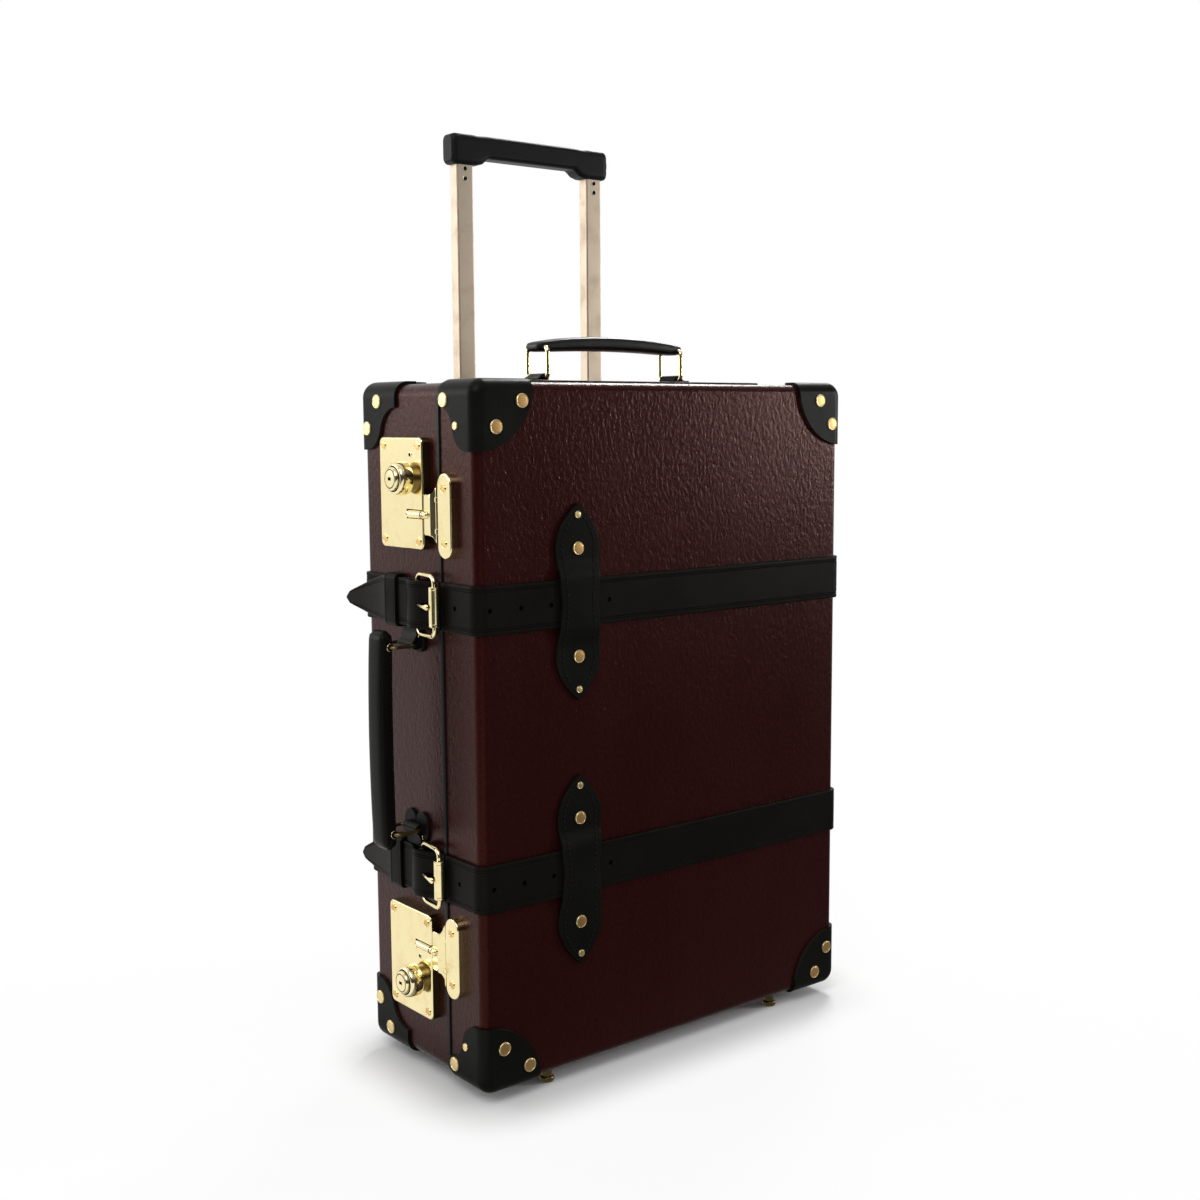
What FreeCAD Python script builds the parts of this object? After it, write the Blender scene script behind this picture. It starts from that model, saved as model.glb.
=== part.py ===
"""Wheeled carry-on suitcase: fibre shell, leather belts and corners, brass locks, trolley handle.

Millimetres, +Z up, X along the width, front at -Y. The origin is on the floor under the middle of
the shell.
"""

import FreeCAD
import Part
import Sketcher
import math
import os
from types import SimpleNamespace

Vector = FreeCAD.Vector
Rotation = FreeCAD.Rotation

SIZES = (
    ("case_width", 384.0),
    ("case_height", 538.0),
    ("case_depth", 159.0),
    ("ground_gap", 12.0),
    ("shell_wall", 3.0),
    ("edge_round", 7.0),
    ("corner_round", 10.0),
    ("lid_depth", 45.6),
    ("part_gap", 0.3),
    ("tool_reach", 40.0),
    ("band_width", 4.3),
    ("band_proud", 0.6),
    ("lip_reach", 8.0),
    ("lip_wall", 2.2),
    ("lip_clear", 0.6),
    ("lining_wall", 1.2),
    ("lining_gap", 0.2),
    ("cap_wall", 2.5),
    ("cap_reach", 51.0),
    ("cap_land", 8.0),
    ("cap_tail", 18.0),
    ("lid_cap_depth", 44.5),
    ("base_cap_depth", 52.0),
    ("stud_radius", 4.9),
    ("stud_head", 1.5),
    ("eyelet_radius", 3.1),
    ("eyelet_head", 1.2),
    ("strap_width", 37.0),
    ("strap_wall", 3.0),
    ("upper_strap_gap", 23.2),
    ("lower_strap_gap", 15.2),
    ("hole_offset", 183.0),
    ("hole_pitch", 28.2),
    ("hole_radius", 2.0),
    ("loop_offset", 100.5),
    ("loop_height", 152.0),
    ("loop_lobe", 42.6),
    ("loop_waist", 31.6),
    ("loop_wall", 2.6),
    ("loop_ramp", 8.0),
    ("loop_bend", 2.0),
    ("loop_stud_reach", 41.8),
    ("loop_eyelet_reach", 67.6),
    ("loop_stud_radius", 4.5),
    ("loop_eyelet_radius", 2.8),
    ("buckle_wire", 1.9),
    ("buckle_arm_gap", 2.6),
    ("roller_set_back", 45.0),
    ("heel_set_back", 74.0),
    ("roller_radius", 4.4),
    ("roller_length", 30.6),
    ("heel_skin", 1.5),
    ("heel_fold", 6.0),
    ("heel_clear", 0.1),
    ("crest_clear", 0.5),
    ("crest_front", 5.0),
    ("crest_rear", 4.0),
    ("tail_climb", 6.2),
    ("tail_settle", 14.0),
    ("tail_lift", 3.0),
    ("tail_curl", 14.0),
    ("tail_mitre", 0.6),
    ("strap_clear", 0.4),
    ("strap_nose", 3.5),
    ("prong_width", 4.0),
    ("prong_wall", 2.2),
    ("prong_skin", 1.3),
    ("prong_crook", 5.0),
    ("prong_nose", 2.5),
    ("prong_swing", 4.5),
    ("run_clear", 0.05),
    ("tail_set_back", 152.0),
    ("upper_tail_flare", 25.0),
    ("lower_tail_flare", 15.0),
    ("keeper_set_back", 102.0),
    ("keeper_width", 16.0),
    ("keeper_wall", 2.0),
    ("lock_set_back", 61.7),
    ("lock_length", 61.3),
    ("lock_height", 85.2),
    ("lock_wall", 7.0),
    ("lock_inset", 83.2),
    ("lock_round", 5.0),
    ("knob_shift", 11.5),
    ("knob_set_back", 78.5),
    ("knob_radius", 9.3),
    ("knob_length", 18.0),
    ("ring_radius", 12.8),
    ("ring_height", 4.0),
    ("shaft_radius", 4.0),
    ("shaft_length", 5.0),
    ("lock_stud_radius", 3.1),
    ("lock_stud_head", 0.8),
    ("lock_stud_inset", 6.0),
    ("hasp_set_back", 25.0),
    ("hasp_width", 18.0),
    ("hasp_height", 64.0),
    ("hasp_wall", 6.0),
    ("hasp_shift", 15.6),
    ("hasp_pin_radius", 1.0),
    ("hasp_pin_sink", 1.1),
    ("hasp_pin_step", 1.6),
    ("hasp_stud_radius", 2.6),
    ("hasp_stud_head", 0.7),
    ("hasp_stud_reach", 22.95),
    ("knuckle_radius", 2.1),
    ("flap_height", 28.0),
    ("flap_arm", 4.2),
    ("flap_wall", 2.5),
    ("flap_lift", 1.2),
    ("flap_strip", 9.3),
    ("tongue_length", 22.0),
    ("tongue_height", 6.0),
    ("groove_clear", 0.6),
    ("groove_floor", 3.2),
    ("key_width", 1.4),
    ("key_height", 5.2),
    ("key_depth", 2.5),
    ("link_wire", 1.8),
    ("link_spacing", 27.2),
    ("link_seat", 5.2),
    ("grip_over", 12.5),
    ("grip_width", 21.0),
    ("grip_thick", 9.0),
    ("top_handle_back", 86.2),
    ("top_link_centre", 71.5),
    ("top_link_height", 25.0),
    ("top_grip_rise", 5.5),
    ("top_grip_hollow", 2.6),
    ("side_handle_back", 87.5),
    ("side_handle_gap", 14.0),
    ("side_link_height", 23.5),
    ("side_grip_rise", 1.2),
    ("chape_skin", 2.2),
    ("chape_width", 20.0),
    ("chape_wall", 2.5),
    ("chape_reach", 130.0),
    ("chape_stud", 2.6),
    ("chape_stud_inset", 8.0),
    ("plate_lobe", 8.5),
    ("plate_near", 7.0),
    ("plate_far", 11.0),
    ("plate_stud", 7.4),
    ("tube_spread", 69.9),
    ("tube_stand", 30.5),
    ("tube_width", 16.6),
    ("tube_depth", 11.0),
    ("tube_wall", 1.2),
    ("tube_length", 482.0),
    ("outer_clear", 0.8),
    ("outer_wall", 1.6),
    ("collar_wall", 3.4),
    ("collar_height", 14.0),
    ("slide_clear", 0.3),
    ("plug_height", 26.0),
    ("latch_radius", 2.0),
    ("tow_grip_width", 168.0),
    ("tow_grip_depth", 18.0),
    ("tow_grip_height", 25.5),
    ("tow_grip_arch", 6.5),
    ("tow_grip_lobe", 31.0),
    ("tow_grip_rise", 213.5),
    ("tow_socket", 12.0),
    ("tow_grip_round", 3.5),
    ("tow_grip_ease", 2.0),
    ("button_size", 8.0),
    ("button_proud", 3.0),
    ("button_depth", 5.5),
    ("button_travel", 2.8),
    ("tube_stud_radius", 1.7),
    ("tube_stud_head", 0.5),
    ("tube_stud_drop", 3.2),
    ("tube_stud_pitch", 8.3),
    ("housing_width", 224.0),
    ("housing_wall", 3.0),
    ("housing_low", 22.0),
    ("housing_drop", 2.0),
    ("housing_round", 12.0),
    ("wheel_radius", 24.0),
    ("wheel_width", 19.0),
    ("tyre_wall", 5.0),
    ("wheel_clear", 1.5),
    ("wheel_gap", 1.0),
    ("well_room", 5.0),
    ("axle_radius", 3.0),
    ("hinge_stand", 4.5),
    ("hinge_radius", 3.0),
    ("hinge_pin_radius", 1.5),
    ("hinge_height", 60.0),
    ("hinge_leaf", 22.0),
    ("hinge_leaf_wall", 1.8),
    ("hinge_web", 4.0),
    ("hinge_inset", 88.0),
    ("foot_radius", 6.0),
    ("foot_inset", 68.0),
    ("foot_set_back", 13.0),
)

doc = FreeCAD.newDocument("suitcase")
sheet = doc.addObject("Spreadsheet::Sheet", "params")


class Size:
    """A length that keeps the expression binding it to the sheet."""

    def __init__(self, value, text):
        self.value = float(value)
        self.text = text

    def __float__(self):
        return self.value

    def _join(self, other, sign, value):
        return Size(value, "(%s %s %s)" % (self.text, sign, as_size(other).text))

    def __add__(self, other):
        return self._join(other, "+", self.value + float(other))

    def __radd__(self, other):
        return as_size(other) + self

    def __sub__(self, other):
        return self._join(other, "-", self.value - float(other))

    def __rsub__(self, other):
        return as_size(other) - self

    def __mul__(self, other):
        return self._join(other, "*", self.value * float(other))

    def __rmul__(self, other):
        return as_size(other) * self

    def __truediv__(self, other):
        return self._join(other, "/", self.value / float(other))

    def __neg__(self):
        return Size(-self.value, "(0 - %s)" % self.text)


def as_size(number):
    """Return a Size for a plain number, or the Size itself."""
    if isinstance(number, Size):
        return number
    return Size(number, "(%r)" % float(number) if number < 0 else "%r" % float(number))


def read_sizes():
    """Fill the sheet and return its aliases as bound sizes."""
    found = {}
    for row, (name, value) in enumerate(SIZES, start=1):
        sheet.set("A%d" % row, name)
        sheet.set("B%d" % row, "%r" % value)
        sheet.setAlias("B%d" % row, name)
        found[name] = Size(value, "params." + name)
    doc.recompute()
    for name in found:
        found[name].value = float(sheet.get(name))
    return SimpleNamespace(**found)


p = read_sizes()
NODES = []
RIVETS = {"lid": [], "base": []}
HOLE_COUNT = 5
FACE_STUDS = {"wide": ((40.3, 14.0), (16.8, 33.0)), "near": ((26.0, 13.0), (11.0, 33.0))}
SIDE_STUDS = {
    "lid": ((37.5, 13.0, False), (21.5, 32.0, True)),
    "base": ((26.0, 13.0, False), (10.5, 34.0, False)),
}
OVER = 1.0
LINK_BEND = 1.7
GRIP_ROUND = 0.8
STUD_TAPER = 0.78
CURL_SHARE = 0.38
POINT_SHARE = 0.78
EYE_SHARE = 0.8
ARM_SHARE = 0.8
LOOP_LADDER = ((0.0, 1.0), (0.30, 0.93), (0.70, 0.80), (0.95, 0.65), (1.0, 0.54), (0.93, 0.36))
LOOP_NECK = (0.1, 0.14)
SLOPE_SHARE = 0.8
BUTTON_SHARE = 0.55
HOUSING_SHARE = 0.6


def bind(item, prop, size):
    """Tie one property of a document object to a size."""
    item.setExpression(prop, as_size(size).text)


def place(item, x, y, z):
    """Tie an object's position to three sizes."""
    for axis, size in (("x", x), ("y", y), ("z", z)):
        bind(item, "Placement.Base." + axis, size)


def node(name, item):
    """Register an object as a sub-part under its name."""
    item.Label = name
    NODES.append(item)
    return item


def box(name, x, y, z):
    """Make a box between two sizes along each axis."""
    item = doc.addObject("Part::Box", name)
    for prop, span in (("Length", x), ("Width", y), ("Height", z)):
        bind(item, prop, span[1] - span[0] if isinstance(span[1], Size) else as_size(span[1]) - span[0])
    place(item, x[0], y[0], z[0])
    return item


AIM = {"x": Vector(1, 0, 0), "y": Vector(0, 1, 0), "z": Vector(0, 0, 1)}


def rod(name, axis, across, span, radius):
    """Make a cylinder along an axis; across holds its two other coordinates."""
    item = doc.addObject("Part::Cylinder", name)
    item.Placement.Rotation = Rotation(Vector(0, 0, 1), AIM[axis])
    bind(item, "Radius", radius)
    bind(item, "Height", as_size(span[1]) - span[0])
    spot = {"x": (span[0], *across), "y": (across[0], span[0], across[1]), "z": (*across, span[0])}
    place(item, *spot[axis])
    return item


def stud(name, way, x, y, z, radius, head):
    """Make a rivet head that stands on a face and points one way."""
    item = doc.addObject("Part::Cone", name)
    item.Placement.Rotation = Rotation(Vector(0, 0, 1), way)
    bind(item, "Radius1", radius)
    bind(item, "Radius2", as_size(radius) * STUD_TAPER)
    bind(item, "Height", head)
    place(item, x, y, z)
    return item


def fuse(name, *items):
    """Join objects, which may also lie apart."""
    item = doc.addObject("Part::MultiFuse", name)
    item.Shapes = list(items)
    return item


def cut(name, body, *tools):
    """Take tools away from an object."""
    item = doc.addObject("Part::Cut", name)
    item.Base = body
    item.Tool = tools[0] if len(tools) == 1 else fuse(name + "_tools", *tools)
    return item


def common(name, first, second):
    """Keep what two objects share."""
    item = doc.addObject("Part::Common", name)
    item.Base = first
    item.Tool = second
    return item


def plane_of(body, role):
    """Find one of a body's origin planes by its role."""
    return next(f for f in body.Origin.OriginFeatures if f.Role == role)


def draw(body, role, offset, points, arcs=None):
    """Draw a closed outline through pinned points; arcs maps an edge to (radius, side)."""
    sketch = body.newObject("Sketcher::SketchObject", body.Label + "_outline")
    sketch.AttachmentSupport = [(plane_of(body, role), "")]
    sketch.MapMode = "FlatFace"
    bind(sketch, "AttachmentOffset.Base.z", offset)
    arcs = arcs or {}
    count = len(points)
    edges = []
    for i in range(count):
        ax, ay = (float(v) for v in points[i])
        bx, by = (float(v) for v in points[(i + 1) % count])
        if i not in arcs:
            geo = sketch.addGeometry(Part.LineSegment(Vector(ax, ay, 0), Vector(bx, by, 0)), False)
            edges.append((geo, 1, 2))
            continue
        radius, side = arcs[i]
        half = math.hypot(bx - ax, by - ay) / 2
        lift = math.sqrt(max(float(radius) ** 2 - half ** 2, 0.0))
        cx = (ax + bx) / 2 - side * lift * (by - ay) / (2 * half)
        cy = (ay + by) / 2 + side * lift * (bx - ax) / (2 * half)
        start, stop = ((ax, ay), (bx, by)) if side > 0 else ((bx, by), (ax, ay))
        turn = [math.atan2(q[1] - cy, q[0] - cx) for q in (start, stop)]
        if turn[1] < turn[0]:
            turn[1] += 2 * math.pi
        circle = Part.Circle(Vector(cx, cy, 0), Vector(0, 0, 1), float(radius))
        geo = sketch.addGeometry(Part.ArcOfCircle(circle, turn[0], turn[1]), False)
        edges.append((geo, 1, 2) if side > 0 else (geo, 2, 1))
        where = sketch.addConstraint(Sketcher.Constraint("Radius", geo, float(radius)))
        sketch.setExpression("Constraints[%d]" % where, as_size(radius).text)
    for i in range(count):
        geo, first, last = edges[i]
        follow = edges[(i + 1) % count]
        sketch.addConstraint(Sketcher.Constraint("Coincident", geo, last, follow[0], follow[1]))
    for i in range(count):
        geo, first, last = edges[i]
        for kind, size, line in (("DistanceX", points[i][0], -2), ("DistanceY", points[i][1], -1)):
            if not isinstance(size, Size) and size == 0:
                sketch.addConstraint(Sketcher.Constraint("PointOnObject", geo, first, line))
                continue
            pin = Sketcher.Constraint(kind, -1, 1, geo, first, float(size))
            where = sketch.addConstraint(pin)
            sketch.setExpression("Constraints[%d]" % where, as_size(size).text)
    return sketch


def wire_ring(name, x, y, z, radius, bend):
    """Bend a round wire into a rectangular ring, square to X at x."""
    body = doc.addObject("PartDesign::Body", name)
    middle = (as_size(z[0]) + z[1]) / 2
    points = [
        (y[0], middle),
        (y[0], z[0] + bend),
        (y[0] + bend, z[0]),
        (y[1] - bend, z[0]),
        (y[1], z[0] + bend),
        (y[1], z[1] - bend),
        (y[1] - bend, z[1]),
        (y[0] + bend, z[1]),
        (y[0], z[1] - bend),
    ]
    corners = {edge: (bend, 1) for edge in (1, 3, 5, 7)}
    spine = draw(body, "YZ_Plane", x, points, corners)
    section = body.newObject("Sketcher::SketchObject", name + "_section")
    section.AttachmentSupport = [(plane_of(body, "XY_Plane"), "")]
    section.MapMode = "FlatFace"
    bind(section, "AttachmentOffset.Base.z", middle)
    centre = Vector(float(x), float(y[0]), 0)
    geo = section.addGeometry(Part.Circle(centre, AIM["z"], float(radius)), False)
    for kind, size in (("DistanceX", x), ("DistanceY", y[0])):
        where = section.addConstraint(Sketcher.Constraint(kind, -1, 1, geo, 3, float(size)))
        section.setExpression("Constraints[%d]" % where, as_size(size).text)
    where = section.addConstraint(Sketcher.Constraint("Radius", geo, float(radius)))
    section.setExpression("Constraints[%d]" % where, as_size(radius).text)
    pipe = body.newObject("PartDesign::AdditivePipe", name + "_pipe")
    pipe.Profile = section
    pipe.Spine = spine
    return body


def prism(name, role, points, span, arcs=None):
    """Pad an outline along the axis square to its plane, from span[0] to span[1]."""
    body = doc.addObject("PartDesign::Body", name)
    start = -as_size(span[1]) if role == "XZ_Plane" else as_size(span[0])
    sketch = draw(body, role, start, points, arcs)
    pad = body.newObject("PartDesign::Pad", name + "_pad")
    pad.Profile = sketch
    bind(pad, "Length", as_size(span[1]) - span[0])
    return body


def along(axis):
    """Choose the straight edges that run along an axis."""
    def chosen(edge):
        if edge.Curve.TypeId != "Part::GeomLine":
            return False
        return abs(edge.tangentAt(edge.FirstParameter).dot(AIM[axis])) > 0.999
    return chosen


def on_plane(axis, size):
    """Choose the edges that lie in a plane square to an axis."""
    def chosen(edge):
        ends = (edge.FirstParameter, (edge.FirstParameter + edge.LastParameter) / 2, edge.LastParameter)
        return all(abs(edge.valueAt(t).dot(AIM[axis]) - float(size)) < 1e-4 for t in ends)
    return chosen


def fillet(body, radius, chooser):
    """Round the chosen edges of a body's last feature."""
    doc.recompute()
    last = body.Tip
    names = ["Edge%d" % (k + 1) for k, edge in enumerate(last.Shape.Edges) if chooser(edge)]
    feature = body.newObject("PartDesign::Fillet", body.Label + "_round")
    feature.Base = (last, names)
    bind(feature, "Radius", radius)
    return body


def block(name, x, y, z, corner, edge=None, end=None):
    """Make a block with rounded upright corners and, at one end, rounded face edges."""
    points = [(x[0], z[0]), (x[1], z[0]), (x[1], z[1]), (x[0], z[1])]
    body = prism(name, "XZ_Plane", points, y)
    fillet(body, corner, along("y"))
    if edge is not None:
        fillet(body, edge, on_plane("y", end))
    return body


half_w = p.case_width / 2
front_y = -p.case_depth / 2
back_y = p.case_depth / 2
low_z = p.ground_gap
top_z = p.ground_gap + p.case_height
mid_z = p.ground_gap + p.case_height / 2
lid_rim = front_y + p.lid_depth
band_front = lid_rim + p.part_gap
band_back = band_front + p.band_width
strap_inset = p.lock_inset + p.lock_height / 2 + p.strap_width / 2
lock_heights = {"upper": top_z - p.lock_inset, "lower": low_z + p.lock_inset}
strap_heights = {
    "upper": top_z - strap_inset - p.upper_strap_gap,
    "lower": low_z + strap_inset + p.lower_strap_gap,
}


def outgrown(name, reach, grow, rim_end):
    """Make the outline block of one half, grown outwards; reach is its far face."""
    far = reach - grow if rim_end is lid_rim else reach + grow
    y = (far, rim_end) if rim_end is lid_rim else (rim_end, far)
    x = (-half_w - grow, half_w + grow)
    z = (low_z - grow, top_z + grow)
    return block(name, x, y, z, p.corner_round + grow, p.edge_round + grow, far)


def make_shells():
    """Lid and base halves, the black band between them and their linings."""
    forms = {}
    for half, reach, rim in (("lid", front_y, lid_rim), ("base", back_y, band_back)):
        form = outgrown(half + "_form", reach, as_size(0.0), rim)
        inner = -p.shell_wall
        far = reach + p.shell_wall if half == "lid" else reach - p.shell_wall
        y = (far, rim + OVER) if half == "lid" else (rim - OVER, far)
        x = (-half_w - inner, half_w + inner)
        z = (low_z - inner, top_z + inner)
        hollow = block(half + "_hollow", x, y, z, p.corner_round + inner, p.edge_round + inner, far)
        node(half + "_shell", cut(half + "_shell", form, hollow))
        forms[half] = form
        skin = p.shell_wall + p.lining_gap
        deep = skin + p.lining_wall
        stop = lid_rim - p.lip_reach - OVER if half == "lid" else band_back + OVER
        parts = []
        for tag, inset, extra in (("outer", skin, 0.0), ("inner", deep, OVER)):
            far = reach + inset if half == "lid" else reach - inset
            y = (far, stop + extra) if half == "lid" else (stop - extra, far)
            x = (-half_w + inset, half_w - inset)
            z = (low_z + inset, top_z - inset)
            name = "%s_lining_%s" % (half, tag)
            parts.append(block(name, x, y, z, p.corner_round - inset, p.edge_round - inset, far))
        node(half + "_lining", cut(half + "_lining", *parts))
    grow = p.band_proud
    x = (-half_w - grow, half_w + grow)
    z = (low_z - grow, top_z + grow)
    band = block("band", x, (band_front, band_back), z, p.corner_round + grow)
    inset = p.shell_wall + p.lip_clear
    x = (-half_w + inset, half_w - inset)
    z = (low_z + inset, top_z - inset)
    lip = block("lip", x, (lid_rim - p.lip_reach, band_back), z, p.corner_round - inset)
    inset = inset + p.lip_wall
    x = (-half_w + inset, half_w - inset)
    z = (low_z + inset, top_z - inset)
    y = (lid_rim - p.lip_reach - OVER, band_back + OVER)
    way = block("band_way", x, y, z, p.corner_round - inset)
    node("base_band", cut("base_band", fuse("band_ring", band, lip), way))
    return forms


def cap_form(name, x, y, z, depth, turned):
    """Turn an ogee round a corner edge of the case, as the cutting line of a corner cap."""
    body = doc.addObject("PartDesign::Body", name)
    if turned:
        body.Placement.Rotation = Rotation(Vector(0, 0, 1), 180)
    place(body, x, y, z)
    front = -p.cap_wall - OVER
    fall = p.cap_reach - p.cap_tail
    run = depth - p.cap_land
    bend = (fall * fall + run * run) / (fall * 4)
    points = [
        (0, front),
        (p.cap_reach, front),
        (p.cap_reach, p.cap_land),
        ((p.cap_reach + p.cap_tail) / 2, (p.cap_land + depth) / 2),
        (p.cap_tail, depth),
        (0, depth),
    ]
    sketch = draw(body, "XY_Plane", 0.0, points, {2: (bend, 1), 3: (bend, -1)})
    turn = body.newObject("PartDesign::Revolution", name + "_turn")
    turn.Profile = sketch
    turn.ReferenceAxis = (sketch, ["V_Axis"])
    turn.Angle = 360
    return body


def make_caps(forms):
    """Leather corner caps with their rivets and eyelets."""
    side_x = half_w + p.cap_wall
    for half, reach, rim, depth in (
        ("lid", front_y, lid_rim, p.lid_cap_depth),
        ("base", back_y, band_back, p.base_cap_depth),
    ):
        skin = cut(half + "_skin", outgrown(half + "_cap_form", reach, p.cap_wall, rim), forms[half])
        face_y = reach - p.cap_wall if half == "lid" else reach + p.cap_wall
        face_way = -AIM["y"] if half == "lid" else AIM["y"]
        studs = RIVETS[half]
        for row, edge_z, up in (("top", top_z, -1), ("bottom", low_z, 1)):
            pair = []
            for side, sx in (("left", -1), ("right", 1)):
                name = "%s_cap_%s_%s" % (half, row, side)
                form = cap_form(name + "_form", half_w * sx, reach, edge_z, depth, half == "base")
                pair.append(common(name, skin, form))
                spots = FACE_STUDS["near" if half == "lid" and sx > 0 else "wide"]
                for k, (dx, dz) in enumerate(spots):
                    spot = ((half_w - dx) * sx, face_y, edge_z + up * dz)
                    title = "%s_face_stud_%d" % (name, k)
                    studs.append(stud(title, face_way, *spot, p.stud_radius, p.stud_head))
                inward = 1 if half == "lid" else -1
                for k, (dy, dz, small) in enumerate(SIDE_STUDS[half]):
                    radius = p.eyelet_radius if small else p.stud_radius
                    head = p.eyelet_head if small else p.stud_head
                    spot = (side_x * sx, reach + inward * dy, edge_z + up * dz)
                    studs.append(stud("%s_side_stud_%d" % (name, k), AIM["x"] * sx, *spot, radius, head))
            node("%s_caps_%s" % (half, row), fuse("%s_caps_%s" % (half, row), *pair))


def make_straps(forms):
    """Belts round the case with loops, buckles, tails and keepers."""
    roller_y = front_y + p.roller_set_back
    heel_y = front_y + p.heel_set_back
    skins = {}
    for half, reach, rim in (("lid", front_y, lid_rim), ("base", back_y, band_back)):
        grown = outgrown(half + "_strap_form", reach, p.strap_wall, rim)
        skins[half] = cut(half + "_strap_skin", grown, forms[half])
    wire = p.buckle_wire
    heel_d = p.strap_wall + p.heel_clear + wire
    loop_r = wire + p.run_clear + p.heel_skin
    tail_in = p.band_proud + p.part_gap
    front_d = tail_in + p.strap_wall + p.part_gap + p.roller_radius
    crest = heel_d + loop_r + p.crest_clear
    rest = p.strap_wall + p.part_gap
    half_strap = p.strap_width / 2
    keepers = []
    far = half_w + p.tool_reach
    for tier, flare in (("upper", p.upper_tail_flare), ("lower", p.lower_tail_flare)):
        zc = strap_heights[tier]
        z = (zc - half_strap, zc + half_strap)
        slab = box(tier + "_slab", (-far, far), (front_y - p.tool_reach, back_y + p.tool_reach), z)
        belt = common(tier + "_front_run", skins["lid"], slab)
        holes = []
        for k in range(HOLE_COUNT):
            spot = (p.hole_pitch * k - p.hole_offset, zc)
            span = (front_y - far, front_y + OVER)
            holes.append(rod("%s_hole_%d" % (tier, k), "y", spot, span, p.hole_radius))
        node(tier + "_front_strap", cut(tier + "_front_strap", belt, *holes))
        ring = common(tier + "_back_ring", skins["base"], slab)
        past = (z[0] - OVER, z[1] + OVER)
        side_x = (-far, -half_w + p.corner_round * 2)
        clip = box(tier + "_clip", side_x, (lid_rim, heel_y - loop_r), past)
        strap = cut(tier + "_back_run", ring, clip)
        wraps = [strap]
        half_eye = p.prong_width * EYE_SHARE
        half_notch = half_eye + p.strap_clear
        heel = (-half_w - heel_d, heel_y)
        for tag, z0, z1 in (("a", z[0], zc - half_notch), ("b", zc + half_notch, z[1])):
            wraps.append(rod(tier + "_wrap_" + tag, "z", heel, (z0, z1), loop_r))
            fold_x = (-half_w - heel_d, -half_w - p.strap_wall / 2)
            wraps.append(box(tier + "_fold_" + tag, fold_x, (heel_y, heel_y + p.heel_fold), (z0, z1)))
        bore = rod(tier + "_heel_bore", "z", heel, past, wire + p.run_clear)
        notch_y = (heel_y - loop_r - OVER, heel_y + loop_r + OVER)
        notch_z = (zc - half_notch, zc + half_notch)
        notch = box(tier + "_prong_notch", (-far, -half_w + OVER), notch_y, notch_z)
        folded = fuse(tier + "_folded", *wraps)
        node(tier + "_back_strap", cut(tier + "_back_strap", folded, bore, notch))

        tip_y = front_y + p.tail_set_back
        keep_y = front_y + p.keeper_set_back
        start = lid_rim + p.part_gap
        route = (
            (start, tail_in),
            (roller_y + p.tail_climb, tail_in),
            (heel_y - p.crest_front, crest),
            (heel_y + p.crest_rear, crest),
            (heel_y + p.tail_settle, rest),
            (keep_y + p.keeper_width + p.tail_lift, rest),
            (tip_y - p.tail_curl, rest + (flare - rest) * CURL_SHARE),
            (tip_y, flare - p.strap_wall),
        )
        lean = (0, -1, -1, 1, 1, -1, -1, 0)
        outer = [(-half_w - d - p.strap_wall, y + p.tail_mitre * k) for (y, d), k in zip(route, lean)]
        inner = [(-half_w - d, y) for y, d in route]
        ribbon = prism(tier + "_ribbon", "XY_Plane", outer + inner[::-1], z)
        point = p.strap_width * POINT_SHARE
        nose = p.strap_nose
        shape = [
            (start, z[0]),
            (tip_y - point, z[0]),
            (tip_y, zc - nose),
            (tip_y, zc + nose),
            (tip_y - point, z[1]),
            (start, z[1]),
        ]
        blade = prism(tier + "_blade", "YZ_Plane", shape, side_x)
        pointed = common(tier + "_pointed", ribbon, blade)
        slot_y = (heel_y - p.strap_width / 2, heel_y + p.prong_swing)
        slot = box(tier + "_slot", side_x, slot_y, (zc - half_eye, zc + half_eye))
        node(tier + "_strap_tail", cut(tier + "_strap_tail", pointed, slot))

        front = (-half_w - front_d, roller_y)
        arm_z = half_strap + p.buckle_arm_gap
        rim_z = arm_z + wire * 2
        pieces = [
            rod(tier + "_heel_bar", "z", heel, (zc - rim_z, zc + rim_z), wire),
            rod(tier + "_front_bar", "z", front, (zc - rim_z, zc + rim_z), wire),
        ]
        thin = wire * ARM_SHARE
        side = [
            (-half_w - heel_d + thin, heel_y),
            (-half_w - heel_d - thin, heel_y),
            (-half_w - front_d - thin, roller_y),
            (-half_w - front_d + thin, roller_y),
        ]
        pieces.append(prism(tier + "_arm_low", "XY_Plane", side, (zc - rim_z, zc - arm_z)))
        pieces.append(prism(tier + "_arm_high", "XY_Plane", side, (zc + arm_z, zc + rim_z)))
        node(tier + "_buckle_frame", fuse(tier + "_buckle_frame", *pieces))

        half_roll = p.roller_length / 2
        tube = rod(tier + "_tube", "z", front, (zc - half_roll, zc + half_roll), p.roller_radius)
        span = (zc - half_roll - OVER, zc + half_roll + OVER)
        bore = rod(tier + "_tube_bore", "z", front, span, wire + p.run_clear)
        node(tier + "_buckle_roller", cut(tier + "_buckle_roller", tube, bore))

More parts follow.
